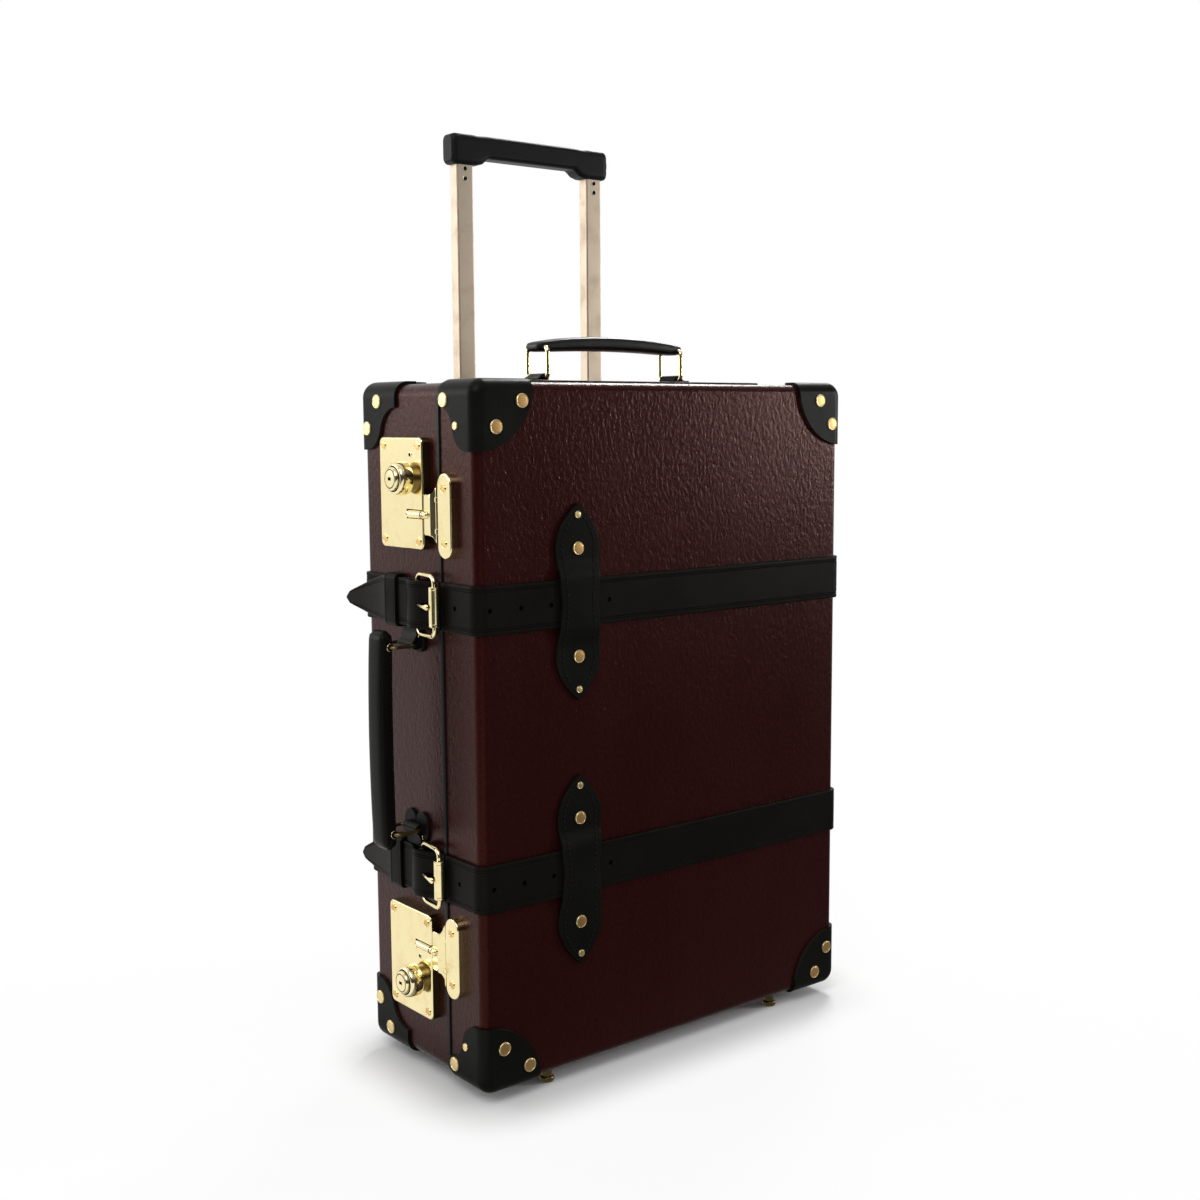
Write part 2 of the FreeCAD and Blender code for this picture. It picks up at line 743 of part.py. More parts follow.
        half_prong = p.prong_width / 2
        eye_r = wire + p.run_clear + p.prong_skin
        rest_d = front_d + p.roller_radius + p.part_gap
        lie = [
            (-half_w - heel_d, heel_y + wire / 2),
            (-half_w - heel_d - eye_r, heel_y - wire / 2),
            (-half_w - rest_d - p.prong_wall, roller_y + p.prong_crook),
            (-half_w - rest_d - p.prong_wall, roller_y - p.prong_nose / 2),
            (-half_w - rest_d, roller_y - p.prong_nose),
            (-half_w - rest_d, roller_y + p.prong_crook - wire / 2),
            (-half_w - heel_d - wire - p.run_clear, heel_y - eye_r),
        ]
        arm = prism(tier + "_prong_arm", "XY_Plane", lie, (zc - half_prong, zc + half_prong))
        eye = rod(tier + "_prong_eye", "z", heel, (zc - half_eye, zc + half_eye), eye_r)
        bore = rod(tier + "_prong_bore", "z", heel, past, wire + p.run_clear)
        blank = fuse(tier + "_prong_blank", arm, eye)
        node(tier + "_buckle_prong", cut(tier + "_buckle_prong", blank, bore))

        inside = rest + p.strap_wall + p.strap_clear
        z_in = half_strap + p.strap_clear
        z_out = z_in + p.keeper_wall
        y = (keep_y, keep_y + p.keeper_width)
        x = (-half_w - inside - p.keeper_wall, -half_w)
        shell = box(tier + "_keeper_box", x, y, (zc - z_out, zc + z_out))
        x = (-half_w - inside, -half_w + OVER)
        room = box(tier + "_keeper_room", x, (y[0] - OVER, y[1] + OVER), (zc - z_in, zc + z_in))
        keepers.append(cut(tier + "_keeper", shell, room))
        make_loop(tier, zc)
    node("strap_keepers", fuse("strap_keepers", *keepers))


def make_loop(tier, zc):
    """Fiddle-shaped leather loop that bridges a belt on the front."""
    half = float(p.loop_height) / 2
    lobe = float(p.loop_lobe) / 2
    waist = float(p.loop_waist) / 2
    line = [Vector(w * lobe, 0, h * half) for w, h in LOOP_LADDER]
    line.append(Vector(waist + LOOP_NECK[0] * (lobe - waist), 0, LOOP_NECK[1] * half))
    line.append(Vector(waist, 0, 0))
    line += [Vector(q.x, 0, -q.z) for q in reversed(line[:-1])]
    right = Part.BSplineCurve()
    right.interpolate(line)
    left = Part.BSplineCurve()
    left.interpolate([Vector(-q.x, 0, q.z) for q in reversed(line)])
    face = Part.Face(Part.Wire([right.toShape(), left.toShape()]))
    sheet_form = doc.addObject("Part::Feature", tier + "_loop_sheet")
    sheet_form.Shape = face.extrude(AIM["y"] * float(p.tool_reach))
    place(sheet_form, -p.loop_offset, front_y - p.tool_reach / 2, zc)
    lift = p.strap_wall + p.part_gap
    near = p.strap_width / 2 + p.strap_clear
    away = near + p.loop_ramp
    reach = p.loop_height / 2 + OVER
    skin = p.loop_wall
    shift = p.loop_bend
    outline = [
        (front_y, zc - reach),
        (front_y - skin, zc - reach),
        (front_y - skin, zc - away - shift),
        (front_y - skin - lift, zc - near - shift),
        (front_y - skin - lift, zc + near + shift),
        (front_y - skin, zc + away + shift),
        (front_y - skin, zc + reach),
        (front_y, zc + reach),
        (front_y, zc + away),
        (front_y - lift, zc + near),
        (front_y - lift, zc - near),
        (front_y, zc - away),
    ]
    x = (-p.loop_offset - p.loop_lobe, -p.loop_offset + p.loop_lobe)
    bridge = prism(tier + "_loop_bridge", "YZ_Plane", outline, x)
    node(tier + "_strap_loop", common(tier + "_strap_loop", sheet_form, bridge))
    for sign in (-1, 1):
        for tag, height, radius, head in (
            ("big", p.loop_stud_reach, p.loop_stud_radius, p.stud_head),
            ("small", p.loop_eyelet_reach, p.loop_eyelet_radius, p.eyelet_head),
        ):
            name = "%s_loop_%s_%s" % (tier, tag, "high" if sign > 0 else "low")
            z = zc + sign * height
            RIVETS["lid"].append(stud(name, -AIM["y"], -p.loop_offset, front_y - skin, z, radius, head))


def make_locks():
    """Lock plates with key knobs on the base, swing hasps on the lid."""
    for tier, up in (("upper", 1), ("lower", -1)):
        zc = lock_heights[tier]
        y0 = front_y + p.lock_set_back
        y1 = y0 + p.lock_length
        z = (zc - p.lock_height / 2, zc + p.lock_height / 2)
        face = half_w + p.lock_wall
        outline = [(y0, z[0]), (y1, z[0]), (y1, z[1]), (y0, z[1])]
        case = prism(tier + "_lock_case", "YZ_Plane", outline, (-face, -half_w))
        fillet(case, p.lock_round, along("x"))
        knob_y = front_y + p.knob_set_back
        knob_z = zc + up * p.knob_shift
        hub = (knob_y, knob_z)
        rim = rod(tier + "_ring_rim", "x", hub, (-face - p.ring_height, -face + OVER), p.ring_radius)
        span = (-face - p.ring_height - OVER, -face)
        eye = rod(tier + "_ring_eye", "x", hub, span, p.knob_radius + p.part_gap)
        span = (-face - OVER, -face + p.shaft_length + p.part_gap)
        bore = rod(tier + "_knob_bore", "x", hub, span, p.shaft_radius + p.run_clear)
        hasp_z = zc - up * p.hasp_shift
        slot = p.tongue_height / 2 + p.groove_clear
        flap_end = y0 - p.part_gap
        groove_y = (y0 - OVER, flap_end + p.tongue_length + OVER)
        groove_x = (-face - OVER, -half_w - p.groove_floor)
        groove = box(tier + "_groove", groove_x, groove_y, (hasp_z - slot, hasp_z + slot))
        blank = fuse(tier + "_lock_blank", case, rim)
        node(tier + "_lock_plate", cut(tier + "_lock_plate", blank, eye, bore, groove))
        inset = p.lock_stud_inset
        for a, sy in (("front", y0 + inset), ("rear", y1 - inset)):
            for b, sz in (("low", z[0] + inset), ("high", z[1] - inset)):
                name = "%s_lock_stud_%s_%s" % (tier, a, b)
                rivet = stud(name, -AIM["x"], -face, sy, sz, p.lock_stud_radius, p.lock_stud_head)
                RIVETS["base"].append(rivet)

        nose = -face - p.part_gap - p.knob_length
        barrel = rod(tier + "_barrel", "x", hub, (nose, -face - p.part_gap), p.knob_radius)
        shaft = rod(tier + "_shaft", "x", hub, (-face - OVER, -face + p.shaft_length), p.shaft_radius)
        key_y = (knob_y - p.key_width / 2, knob_y + p.key_width / 2)
        key_z = (knob_z - p.key_height / 2, knob_z + p.key_height / 2)
        key = box(tier + "_key_way", (nose - OVER, nose + p.key_depth), key_y, key_z)
        blank = fuse(tier + "_knob_blank", barrel, shaft)
        node(tier + "_lock_knob", cut(tier + "_lock_knob", blank, key))
        make_hasp(tier, hasp_z, flap_end)


def make_hasp(tier, zc, flap_end):
    """Pill-shaped plate on the lid and the flap that swings on its pin."""
    y0 = front_y + p.hasp_set_back
    y1 = y0 + p.hasp_width
    r = p.hasp_width / 2
    ym = y0 + r
    high = zc + p.hasp_height / 2
    low = zc - p.hasp_height / 2
    points = [(y0, low + r), (ym, low), (y1, low + r), (y1, high - r), (ym, high), (y0, high - r)]
    arcs = {0: (r, 1), 1: (r, 1), 3: (r, 1), 4: (r, 1)}
    pill = prism(tier + "_pill", "YZ_Plane", points, (-half_w - p.hasp_wall, -half_w), arcs)
    pin_x = -half_w - p.hasp_wall + p.hasp_pin_sink
    pin_y = y1 + p.hasp_pin_step
    half_flap = p.flap_height / 2
    inner = half_flap - p.flap_arm
    notches = []
    knuckles = []
    bores = []
    arms = []
    skin = (pin_x - p.flap_lift, pin_x - p.flap_lift + p.flap_wall)
    strip_y = flap_end - p.flap_strip
    pin_spot = (pin_x, pin_y)
    plate_x = -half_w - p.hasp_wall
    for tag, z0, z1 in (("low", zc - half_flap, zc - inner), ("high", zc + inner, zc + half_flap)):
        room_y = (pin_y - p.knuckle_radius - p.groove_clear, y1 + OVER)
        room_z = (z0 - p.part_gap, z1 + p.part_gap)
        notches.append(box("%s_notch_%s" % (tier, tag), (plate_x - OVER, -half_w - OVER), room_y, room_z))
        knuckles.append(rod("%s_flap_knuckle_%s" % (tier, tag), "z", pin_spot, (z0, z1), p.knuckle_radius))
        span = (z0 - OVER, z1 + OVER)
        bore_r = p.hasp_pin_radius + p.run_clear
        bores.append(rod("%s_flap_bore_%s" % (tier, tag), "z", pin_spot, span, bore_r))
        arms.append(box("%s_flap_arm_%s" % (tier, tag), skin, (pin_y, strip_y + OVER), (z0, z1)))
    bared = cut(tier + "_pill_bared", pill, *notches)
    knuckle = inner - p.part_gap
    middle = rod(tier + "_pill_knuckle", "z", pin_spot, (zc - knuckle, zc + knuckle), p.knuckle_radius)
    pin = rod(tier + "_hasp_pin", "z", pin_spot, (zc - half_flap, zc + half_flap), p.hasp_pin_radius)
    caps = []
    for tag, z in (("low", zc - p.hasp_stud_reach), ("high", zc + p.hasp_stud_reach)):
        name = "%s_hasp_stud_%s" % (tier, tag)
        caps.append(stud(name, -AIM["x"], plate_x, ym, z, p.hasp_stud_radius, p.hasp_stud_head))
    node(tier + "_hasp_plate", fuse(tier + "_hasp_plate", bared, middle, pin, *caps))
    strip = box(tier + "_flap_strip", skin, (strip_y, flap_end), (zc - half_flap, zc + half_flap))
    half_tongue = p.tongue_height / 2
    tongue_y = (flap_end - OVER, flap_end + p.tongue_length)
    tongue = box(tier + "_tongue", skin, tongue_y, (zc - half_tongue, zc + half_tongue))
    blank = fuse(tier + "_flap_blank", strip, tongue, *arms, *knuckles)
    node(tier + "_hasp_flap", cut(tier + "_hasp_flap", blank, *bores))


def seat(item, turn, spot):
    """Turn a finished object and tie it to its place on the case."""
    item.Placement.Rotation = turn
    place(item, *spot)
    return item


def long_arc(edge):
    """Choose the arched edges that run the length of a grip."""
    return edge.Curve.TypeId == "Part::GeomCircle" and edge.Length > float(p.grip_width) * 2


def make_handle(title, ends, form, turn, spot):
    """Padded grip on two wire links, drawn on a wall at z 0 with the grip along x, then seated."""
    wire = p.link_wire
    bore_r = wire + p.run_clear
    low = p.link_seat
    high = low + form.height
    half_link = p.link_spacing / 2
    bend = wire * LINK_BEND
    half_grip = form.centre + p.grip_over
    half_wide = p.grip_width / 2
    thick = p.grip_thick / 2
    arcs = {}
    for edge, rise, side in ((0, form.hollow, -1), (2, form.rise, 1)):
        arcs[edge] = ((half_grip * half_grip + rise * rise) / (rise * 2), side)
    outline = [
        (-half_grip, high - thick),
        (half_grip, high - thick),
        (half_grip, high + thick),
        (-half_grip, high + thick),
    ]
    blank = prism(title + "_grip_blank", "XZ_Plane", outline, (-half_wide, half_wide), arcs)
    fillet(blank, thick * GRIP_ROUND, long_arc)
    roll_r = bore_r + p.chape_skin
    half_roll = half_link - bend - p.part_gap / 2
    ring_span = (-half_link, half_link)
    roll_span = (-half_roll, half_roll)
    bores = []
    chapes = []
    studs = []
    for end, sx in zip(ends, (-1, 1)):
        xc = form.centre * sx
        name = end + "_handle_link"
        ring = wire_ring(name, xc, ring_span, (low, high), wire, bend)
        node(name, seat(ring, turn, spot))
        bores.append(rod(end + "_grip_bore", "y", (xc, high), ring_span, bore_r))
        near, far = (form.near, form.far) if sx > 0 else (-form.far, -form.near)
        pieces = [
            rod(end + "_chape_roll", "y", (xc, low), roll_span, roll_r),
            box(end + "_chape_foot", (xc - roll_r, xc + roll_r), roll_span, (0.0, low)),
            box(end + "_chape_tab", (near, far), (-form.wide, form.wide), (0.0, p.chape_wall)),
        ]
        for k, y in enumerate(form.lobes):
            name = "%s_chape_lobe_%d" % (end, k)
            pieces.append(rod(name, "z", (form.near * sx, y), (0.0, p.chape_wall), p.plate_lobe))
        eye = rod(end + "_chape_eye", "y", (xc, low), ring_span, bore_r)
        chapes.append(cut(end + "_chape", fuse(end + "_chape_blank", *pieces), eye))
        for k, (x, y) in enumerate(form.studs):
            name = "%s_chape_stud_%d" % (end, k)
            studs.append(stud(name, AIM["z"], x * sx, y, p.chape_wall, p.chape_stud, p.eyelet_head))
    name = title + "_handle_grip"
    node(name, seat(cut(name, blank, *bores), turn, spot))
    name = title + "_handle_chapes"
    node(name, seat(fuse(name, *chapes), turn, spot))
    RIVETS["base"].append(seat(fuse(title + "_handle_studs", *studs), turn, spot))


def make_handles():
    """Carry handles on the top and on the left side."""
    top = SimpleNamespace(
        centre=p.top_link_centre,
        height=p.top_link_height,
        rise=p.top_grip_rise,
        hollow=p.top_grip_hollow,
        near=p.top_link_centre,
        far=p.chape_reach,
        wide=p.chape_width / 2,
        lobes=(),
        studs=((p.chape_reach - p.chape_stud_inset, 0.0), (p.chape_reach - p.chape_stud_inset * 3, 0.0)),
    )
    make_handle("top", ("left", "right"), top, Rotation(), (0.0, front_y + p.top_handle_back, top_z))
    room_top = strap_heights["upper"] - p.strap_width / 2
    room_low = strap_heights["lower"] + p.strap_width / 2
    centre = (room_top - room_low) / 2 - p.side_handle_gap
    side = SimpleNamespace(
        centre=centre,
        height=p.side_link_height,
        rise=p.side_grip_rise,
        hollow=p.side_grip_rise,
        near=centre - p.plate_near,
        far=centre + p.plate_far,
        wide=p.plate_lobe * 2,
        lobes=(-p.plate_lobe, p.plate_lobe),
        studs=tuple((centre + p.plate_stud, y) for y in (-p.plate_lobe, p.plate_lobe)),
    )
    spot = (-half_w, front_y + p.side_handle_back, (room_top + room_low) / 2)
    make_handle("side", ("low", "high"), side, Rotation(AIM["y"], -90), spot)


def make_trolley():
    """Telescopic handle in a housing on the back, with its wheels."""
    tube_y = back_y + p.tube_stand
    yc = tube_y + p.tube_depth / 2
    top = top_z + p.tow_grip_rise
    low = top - p.tow_grip_height
    tube_top = low + p.tow_socket
    tube_low = tube_top - p.tube_length
    half_x = p.tube_width / 2
    half_y = p.tube_depth / 2
    roof = top_z - p.housing_drop
    floor = p.housing_low + p.housing_wall
    inner = []
    outer = []
    collars = []
    plugs = []
    studs = []
    sockets = []
    ways = []
    for side, sx in (("left", -1), ("right", 1)):
        xc = p.tube_spread * sx

        def sleeve(name, grow, z):
            """Box round the tube's axis, grown on each side."""
            return box(side + name, (xc - half_x - grow, xc + half_x + grow),
                       (yc - half_y - grow, yc + half_y + grow), z)

        full = sleeve("_tube_full", as_size(0.0), (tube_low, tube_top))
        core = sleeve("_tube_core", -p.tube_wall, (tube_low - OVER, tube_top + OVER))
        inner.append(cut(side + "_inner_tube", full, core))
        sockets.append(sleeve("_socket", as_size(0.0), (low - OVER, tube_top)))
        jacket = p.outer_clear + p.outer_wall
        full = sleeve("_outer_full", jacket, (floor, roof - p.housing_wall))
        core = sleeve("_outer_core", p.outer_clear, (floor - OVER, roof))
        outer.append(cut(side + "_outer_tube", full, core))
        ways.append(sleeve("_roof_way", p.slide_clear, (roof - p.housing_wall - OVER, roof + OVER)))
        full = sleeve("_collar_full", p.collar_wall, (roof, roof + p.collar_height))
        core = sleeve("_collar_core", p.slide_clear, (roof - OVER, roof + p.collar_height + OVER))
        collars.append(cut(side + "_collar", full, core))
        half_plug = p.plug_height / 2
        head = sleeve("_plug_head", p.outer_clear - p.slide_clear, (tube_low - half_plug, tube_low))
        stem = sleeve("_plug_stem", -p.tube_wall, (tube_low - OVER, tube_low + half_plug))
        plugs.append(fuse(side + "_plug", head, stem))
        rise = (tube_low + half_plug, tube_top)
        plugs.append(rod(side + "_latch_rod", "z", (xc, yc), rise, p.latch_radius))
        for k in range(2):
            z = low - p.tube_stud_drop - p.tube_stud_pitch * k
            name = "%s_tube_stud_%d" % (side, k)
            studs.append(stud(name, -AIM["y"], xc, tube_y, z, p.tube_stud_radius, p.tube_stud_head))
    node("trolley_inner_tubes", fuse("trolley_inner_tubes", *inner))
    node("trolley_outer_tubes", fuse("trolley_outer_tubes", *outer))
    node("trolley_collars", fuse("trolley_collars", *collars))
    node("trolley_plugs", fuse("trolley_plugs", *plugs))
    node("trolley_rivets", fuse("trolley_rivets", *studs))

    half_grip = p.tow_grip_width / 2
    lobe = half_grip - p.tow_grip_lobe
    arch = low + p.tow_grip_arch
    slope = p.tow_grip_arch * SLOPE_SHARE
    outline = [
        (-half_grip, low),
        (-lobe, low),
        (-lobe + slope, arch),
        (lobe - slope, arch),
        (lobe, low),
        (half_grip, low),
        (half_grip, top),
        (-half_grip, top),
    ]
    y = (yc - p.tow_grip_depth / 2, yc + p.tow_grip_depth / 2)
    grip = prism("tow_grip_blank", "XZ_Plane", outline, y)
    fillet(grip, p.tow_grip_round, on_plane("z", top))
    fillet(grip, p.tow_grip_ease, lambda e: on_plane("z", low)(e) and along("x")(e))
    half_b = p.button_size / 2
    button_z = low + p.tow_grip_height * BUTTON_SHARE
    inmost = half_grip - p.button_depth
    room = half_b + p.slide_clear
    room_y = (yc - room, yc + room)
    room_z = (button_z - room, button_z + room)
    pocket = box("button_pocket", (inmost, half_grip + OVER), room_y, room_z)
    node("trolley_grip", cut("trolley_grip", grip, pocket, *sockets))
    button_x = (inmost + p.button_travel, half_grip + p.button_proud)
    button_span = (button_z - half_b, button_z + half_b)
    node("trolley_button", box("button_block", button_x, (yc - half_b, yc + half_b), button_span))
    make_housing(yc, half_y + p.outer_clear + p.outer_wall, ways)


def make_housing(yc, reach_y, ways):
    """Moulded housing on the back with its wheels and axles."""
    wall = p.housing_wall
    half = p.housing_width / 2
    back = yc + reach_y + p.part_gap + wall
    z = (p.housing_low, top_z - p.housing_drop)
    outline = [(-half, z[0]), (half, z[0]), (half, z[1]), (-half, z[1])]
    form = prism("housing_form", "XZ_Plane", outline, (back_y, back))
    fillet(form, p.housing_round, along("y"))
    fillet(form, p.housing_round * HOUSING_SHARE, on_plane("y", back))
    inner = half - wall
    floor = z[0] + wall
    roof = z[1] - wall
    outline = [(-inner, floor), (inner, floor), (inner, roof), (-inner, roof)]
    hollow = prism("housing_hollow", "XZ_Plane", outline, (back_y - OVER, back - wall))
    fillet(hollow, p.housing_round - wall, along("y"))
    axle_z = p.wheel_radius
    axle_y = back_y + p.wheel_radius + p.wheel_gap
    well = p.wheel_width + p.wheel_clear * 2
    well_top = axle_z + p.wheel_radius + p.well_room
    walls = []
    rooms = list(ways)
    axles = []
    for side, sx in (("left", -1), ("right", 1)):
        def span(a, b):
            """Order a pair of distances from the middle on this side."""
            return (a, b) if sx > 0 else (-b, -a)

        y = (back_y, back - wall / 2)
        far_in = inner - well - wall
        walls.append(box(side + "_well", span(far_in, half - wall / 2), y, (floor, well_top + wall)))
        room_y = (back_y - OVER, back + OVER)
        rooms.append(box(side + "_well_room", span(inner - well, inner), room_y, (z[0] - OVER, well_top)))
        axle = (axle_y, axle_z)
        rooms.append(rod(side + "_axle_bore", "x", axle, span(far_in - OVER, half + OVER), p.axle_radius))
        axles.append(rod(side + "_axle", "x", axle, span(far_in, half), p.axle_radius))
        mid = inner - well / 2
        wide = p.wheel_width / 2
        faces = span(mid - wide, mid + wide)
        past = span(mid - wide - OVER, mid + wide + OVER)
        rim = p.wheel_radius - p.tyre_wall
        tyre = rod(side + "_tyre_disc", "x", axle, faces, p.wheel_radius)
        bed = rod(side + "_tyre_bed", "x", axle, past, rim)
        node(side + "_wheel_tyre", cut(side + "_wheel_tyre", tyre, bed))
        disc = rod(side + "_hub_disc", "x", axle, faces, rim)
        bore = rod(side + "_hub_bore", "x", axle, past, p.axle_radius + p.run_clear)
        node(side + "_wheel_hub", cut(side + "_wheel_hub", disc, bore))
    for tier, zc in strap_heights.items():
        reach = p.strap_width / 2 + p.strap_clear
        way_y = (back_y - OVER, back_y + p.strap_wall + p.strap_clear)
        rooms.append(box(tier + "_strap_way", (-half - OVER, half + OVER), way_y, (zc - reach, zc + reach)))
    blank = fuse("housing_blank", cut("housing_tray", form, hollow), *walls)
    whole = cut("housing_whole", blank, *rooms)
    foot_y = (back_y - OVER, back + OVER)
    foot_z = (z[0] - OVER, floor + wall)
    share = box("housing_foot_share", (-half - OVER, half + OVER), foot_y, foot_z)
    node("trolley_housing", cut("trolley_housing", whole, share))
    node("housing_foot", common("housing_foot", whole, share))
    node("wheel_axles", fuse("wheel_axles", *axles))


def make_hinges():
    """Leaf hinges on the right side, with one pin each."""
    pin_x = half_w + p.hinge_stand
    pin_y = (lid_rim + band_back) / 2
    pin = (pin_x, pin_y)
    half = p.hinge_height / 2
    gap = p.part_gap / 2
    leaves = {"lid": [], "base": []}
    pins = []
    for k, zc in enumerate((low_z + p.hinge_inset, mid_z, top_z - p.hinge_inset)):
        for side, rim, sy, z in (
            ("lid", lid_rim, -1, (zc + gap, zc + half)),
            ("base", band_back, 1, (zc - half, zc - gap)),
        ):
            name = "%s_leaf_%d" % (side, k)
            far = rim + sy * p.hinge_leaf
            y = (far, rim) if sy < 0 else (rim, far)
            leaf = box(name, (half_w, half_w + p.hinge_leaf_wall), y, (zc - half, zc + half))
            root = rim + sy * p.hinge_web
            web = [(half_w, rim), (half_w, root), (pin_x, pin_y + sy * p.hinge_radius), (pin_x, pin_y)]
            order = web if sy > 0 else web[::-1]
            bridge = prism(name + "_web", "XY_Plane", order, z)
            barrel = rod(name + "_barrel", "z", pin, z, p.hinge_radius)
            span = (z[0] - OVER, z[1] + OVER)
            bore = rod(name + "_bore", "z", pin, span, p.hinge_pin_radius + p.run_clear)
            leaves[side].append(cut(name + "_cut", fuse(name + "_blank", leaf, bridge, barrel), bore))
        pins.append(rod("hinge_pin_%d" % k, "z", pin, (zc - half, zc + half), p.hinge_pin_radius))
    for side in ("lid", "base"):
        node(side + "_hinge_leaves", fuse(side + "_hinge_leaves", *leaves[side]))
    node("hinge_pins", fuse("hinge_pins", *pins))


def make_feet():
    """Brass glides under the front edge."""
    feet = []
    for side, sx in (("left", -1), ("right", 1)):
        spot = ((half_w - p.foot_inset) * sx, front_y + p.foot_set_back)
        feet.append(rod(side + "_foot", "z", spot, (0.0, low_z), p.foot_radius))
    node("front_feet", fuse("front_feet", *feet))


shell_forms = make_shells()
make_caps(shell_forms)
make_straps(shell_forms)
make_locks()
make_handles()
make_trolley()
make_hinges()
make_feet()
for half, studs in RIVETS.items():
    node(half + "_rivets", fuse(half + "_rivets", *studs))
doc.recompute()

faults = [o.Label for o in doc.Objects if "Invalid" in o.State or "Error" in o.State]
for item in NODES:
    if item.Shape.isNull() or not item.Shape.isValid() or not item.Shape.Solids:
        faults.append(item.Label + " shape")
if faults:
    raise RuntimeError("faulty: " + ", ".join(faults))

os.makedirs("parts", exist_ok=True)
for item in NODES:
    item.Shape.exportStep("parts/%s.step" % item.Label)
    print(item.Label, len(item.Shape.Solids), round(item.Shape.Volume, 1))
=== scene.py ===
"""Looks of a wheeled carry-on suitcase: fibre shell, leather trim and brass fittings.

Every sub-assembly is a class that builds its pieces in millimetres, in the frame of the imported
model, and hands them to the bench, which scales them to metres and fixes them to their bodies.
"""

import logging
import math
from dataclasses import dataclass
from enum import Enum
from typing import Callable, Iterable, Sequence

import bmesh
import bpy
from mathutils import Matrix, Vector


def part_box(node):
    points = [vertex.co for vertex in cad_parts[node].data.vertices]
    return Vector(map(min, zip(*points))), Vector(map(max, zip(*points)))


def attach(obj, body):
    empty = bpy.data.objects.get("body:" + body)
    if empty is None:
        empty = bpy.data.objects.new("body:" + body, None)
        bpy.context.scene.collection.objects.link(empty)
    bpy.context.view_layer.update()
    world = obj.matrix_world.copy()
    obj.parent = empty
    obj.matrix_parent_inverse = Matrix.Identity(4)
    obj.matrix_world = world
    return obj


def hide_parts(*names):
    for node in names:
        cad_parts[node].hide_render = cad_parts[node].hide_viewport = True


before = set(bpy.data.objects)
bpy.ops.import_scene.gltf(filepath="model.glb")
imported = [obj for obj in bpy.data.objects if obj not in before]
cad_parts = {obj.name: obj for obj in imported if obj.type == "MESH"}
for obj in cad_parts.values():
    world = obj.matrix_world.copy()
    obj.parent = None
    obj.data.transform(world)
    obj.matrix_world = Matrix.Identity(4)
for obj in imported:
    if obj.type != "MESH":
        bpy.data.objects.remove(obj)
log = logging.getLogger("suitcase")

MM = 0.001
WELD = 1e-4
NEAR = 1e-3
X, Y, Z = Vector((1, 0, 0)), Vector((0, 1, 0)), Vector((0, 0, 1))
Colour = tuple[float, float, float, float]
Point = tuple[float, float]
Spot = tuple[float, float, float]
Edge, Face = bmesh.types.BMEdge, bmesh.types.BMFace
EdgeTest, FaceTest = Callable[[Edge], bool], Callable[[Face], bool]


class Field:
    """A node socket with arithmetic, so that shader sums read as expressions."""

    def __init__(self, tree: bpy.types.NodeTree, socket: bpy.types.NodeSocket) -> None:
        """Wrap one output socket of a tree."""
        self.tree = tree
        self.socket = socket

    def _sum(self, operation: str, left: "Field | float", right: "Field | float") -> "Field":
        """Add a Math node.

        Args:
            operation: the node's operation.
            left: first term.
            right: second term.

        Returns:
            The result.
        """
        node = self.tree.nodes.new("ShaderNodeMath")
        node.operation = operation
        for socket, term in zip(node.inputs, (left, right)):
            if isinstance(term, Field):
                self.tree.links.new(term.socket, socket)
            else:
                socket.default_value = term
        return Field(self.tree, node.outputs[0])

    def __add__(self, other: "Field | float") -> "Field":
        """Sum with the other on the right."""
        return self._sum("ADD", self, other)

    def __radd__(self, other: float) -> "Field":
        """Sum with the other on the left."""
        return self._sum("ADD", other, self)

    def __sub__(self, other: "Field | float") -> "Field":
        """Difference with the other on the right."""
        return self._sum("SUBTRACT", self, other)

    def __rsub__(self, other: float) -> "Field":
        """Difference with the other on the left."""
        return self._sum("SUBTRACT", other, self)

    def __mul__(self, other: "Field | float") -> "Field":
        """Product with the other on the right."""
        return self._sum("MULTIPLY", self, other)

    def __rmul__(self, other: float) -> "Field":
        """Product with the other on the left."""
        return self._sum("MULTIPLY", other, self)

    def most(self, other: "Field | float") -> "Field":
        """Larger of two values."""
        return self._sum("MAXIMUM", self, other)


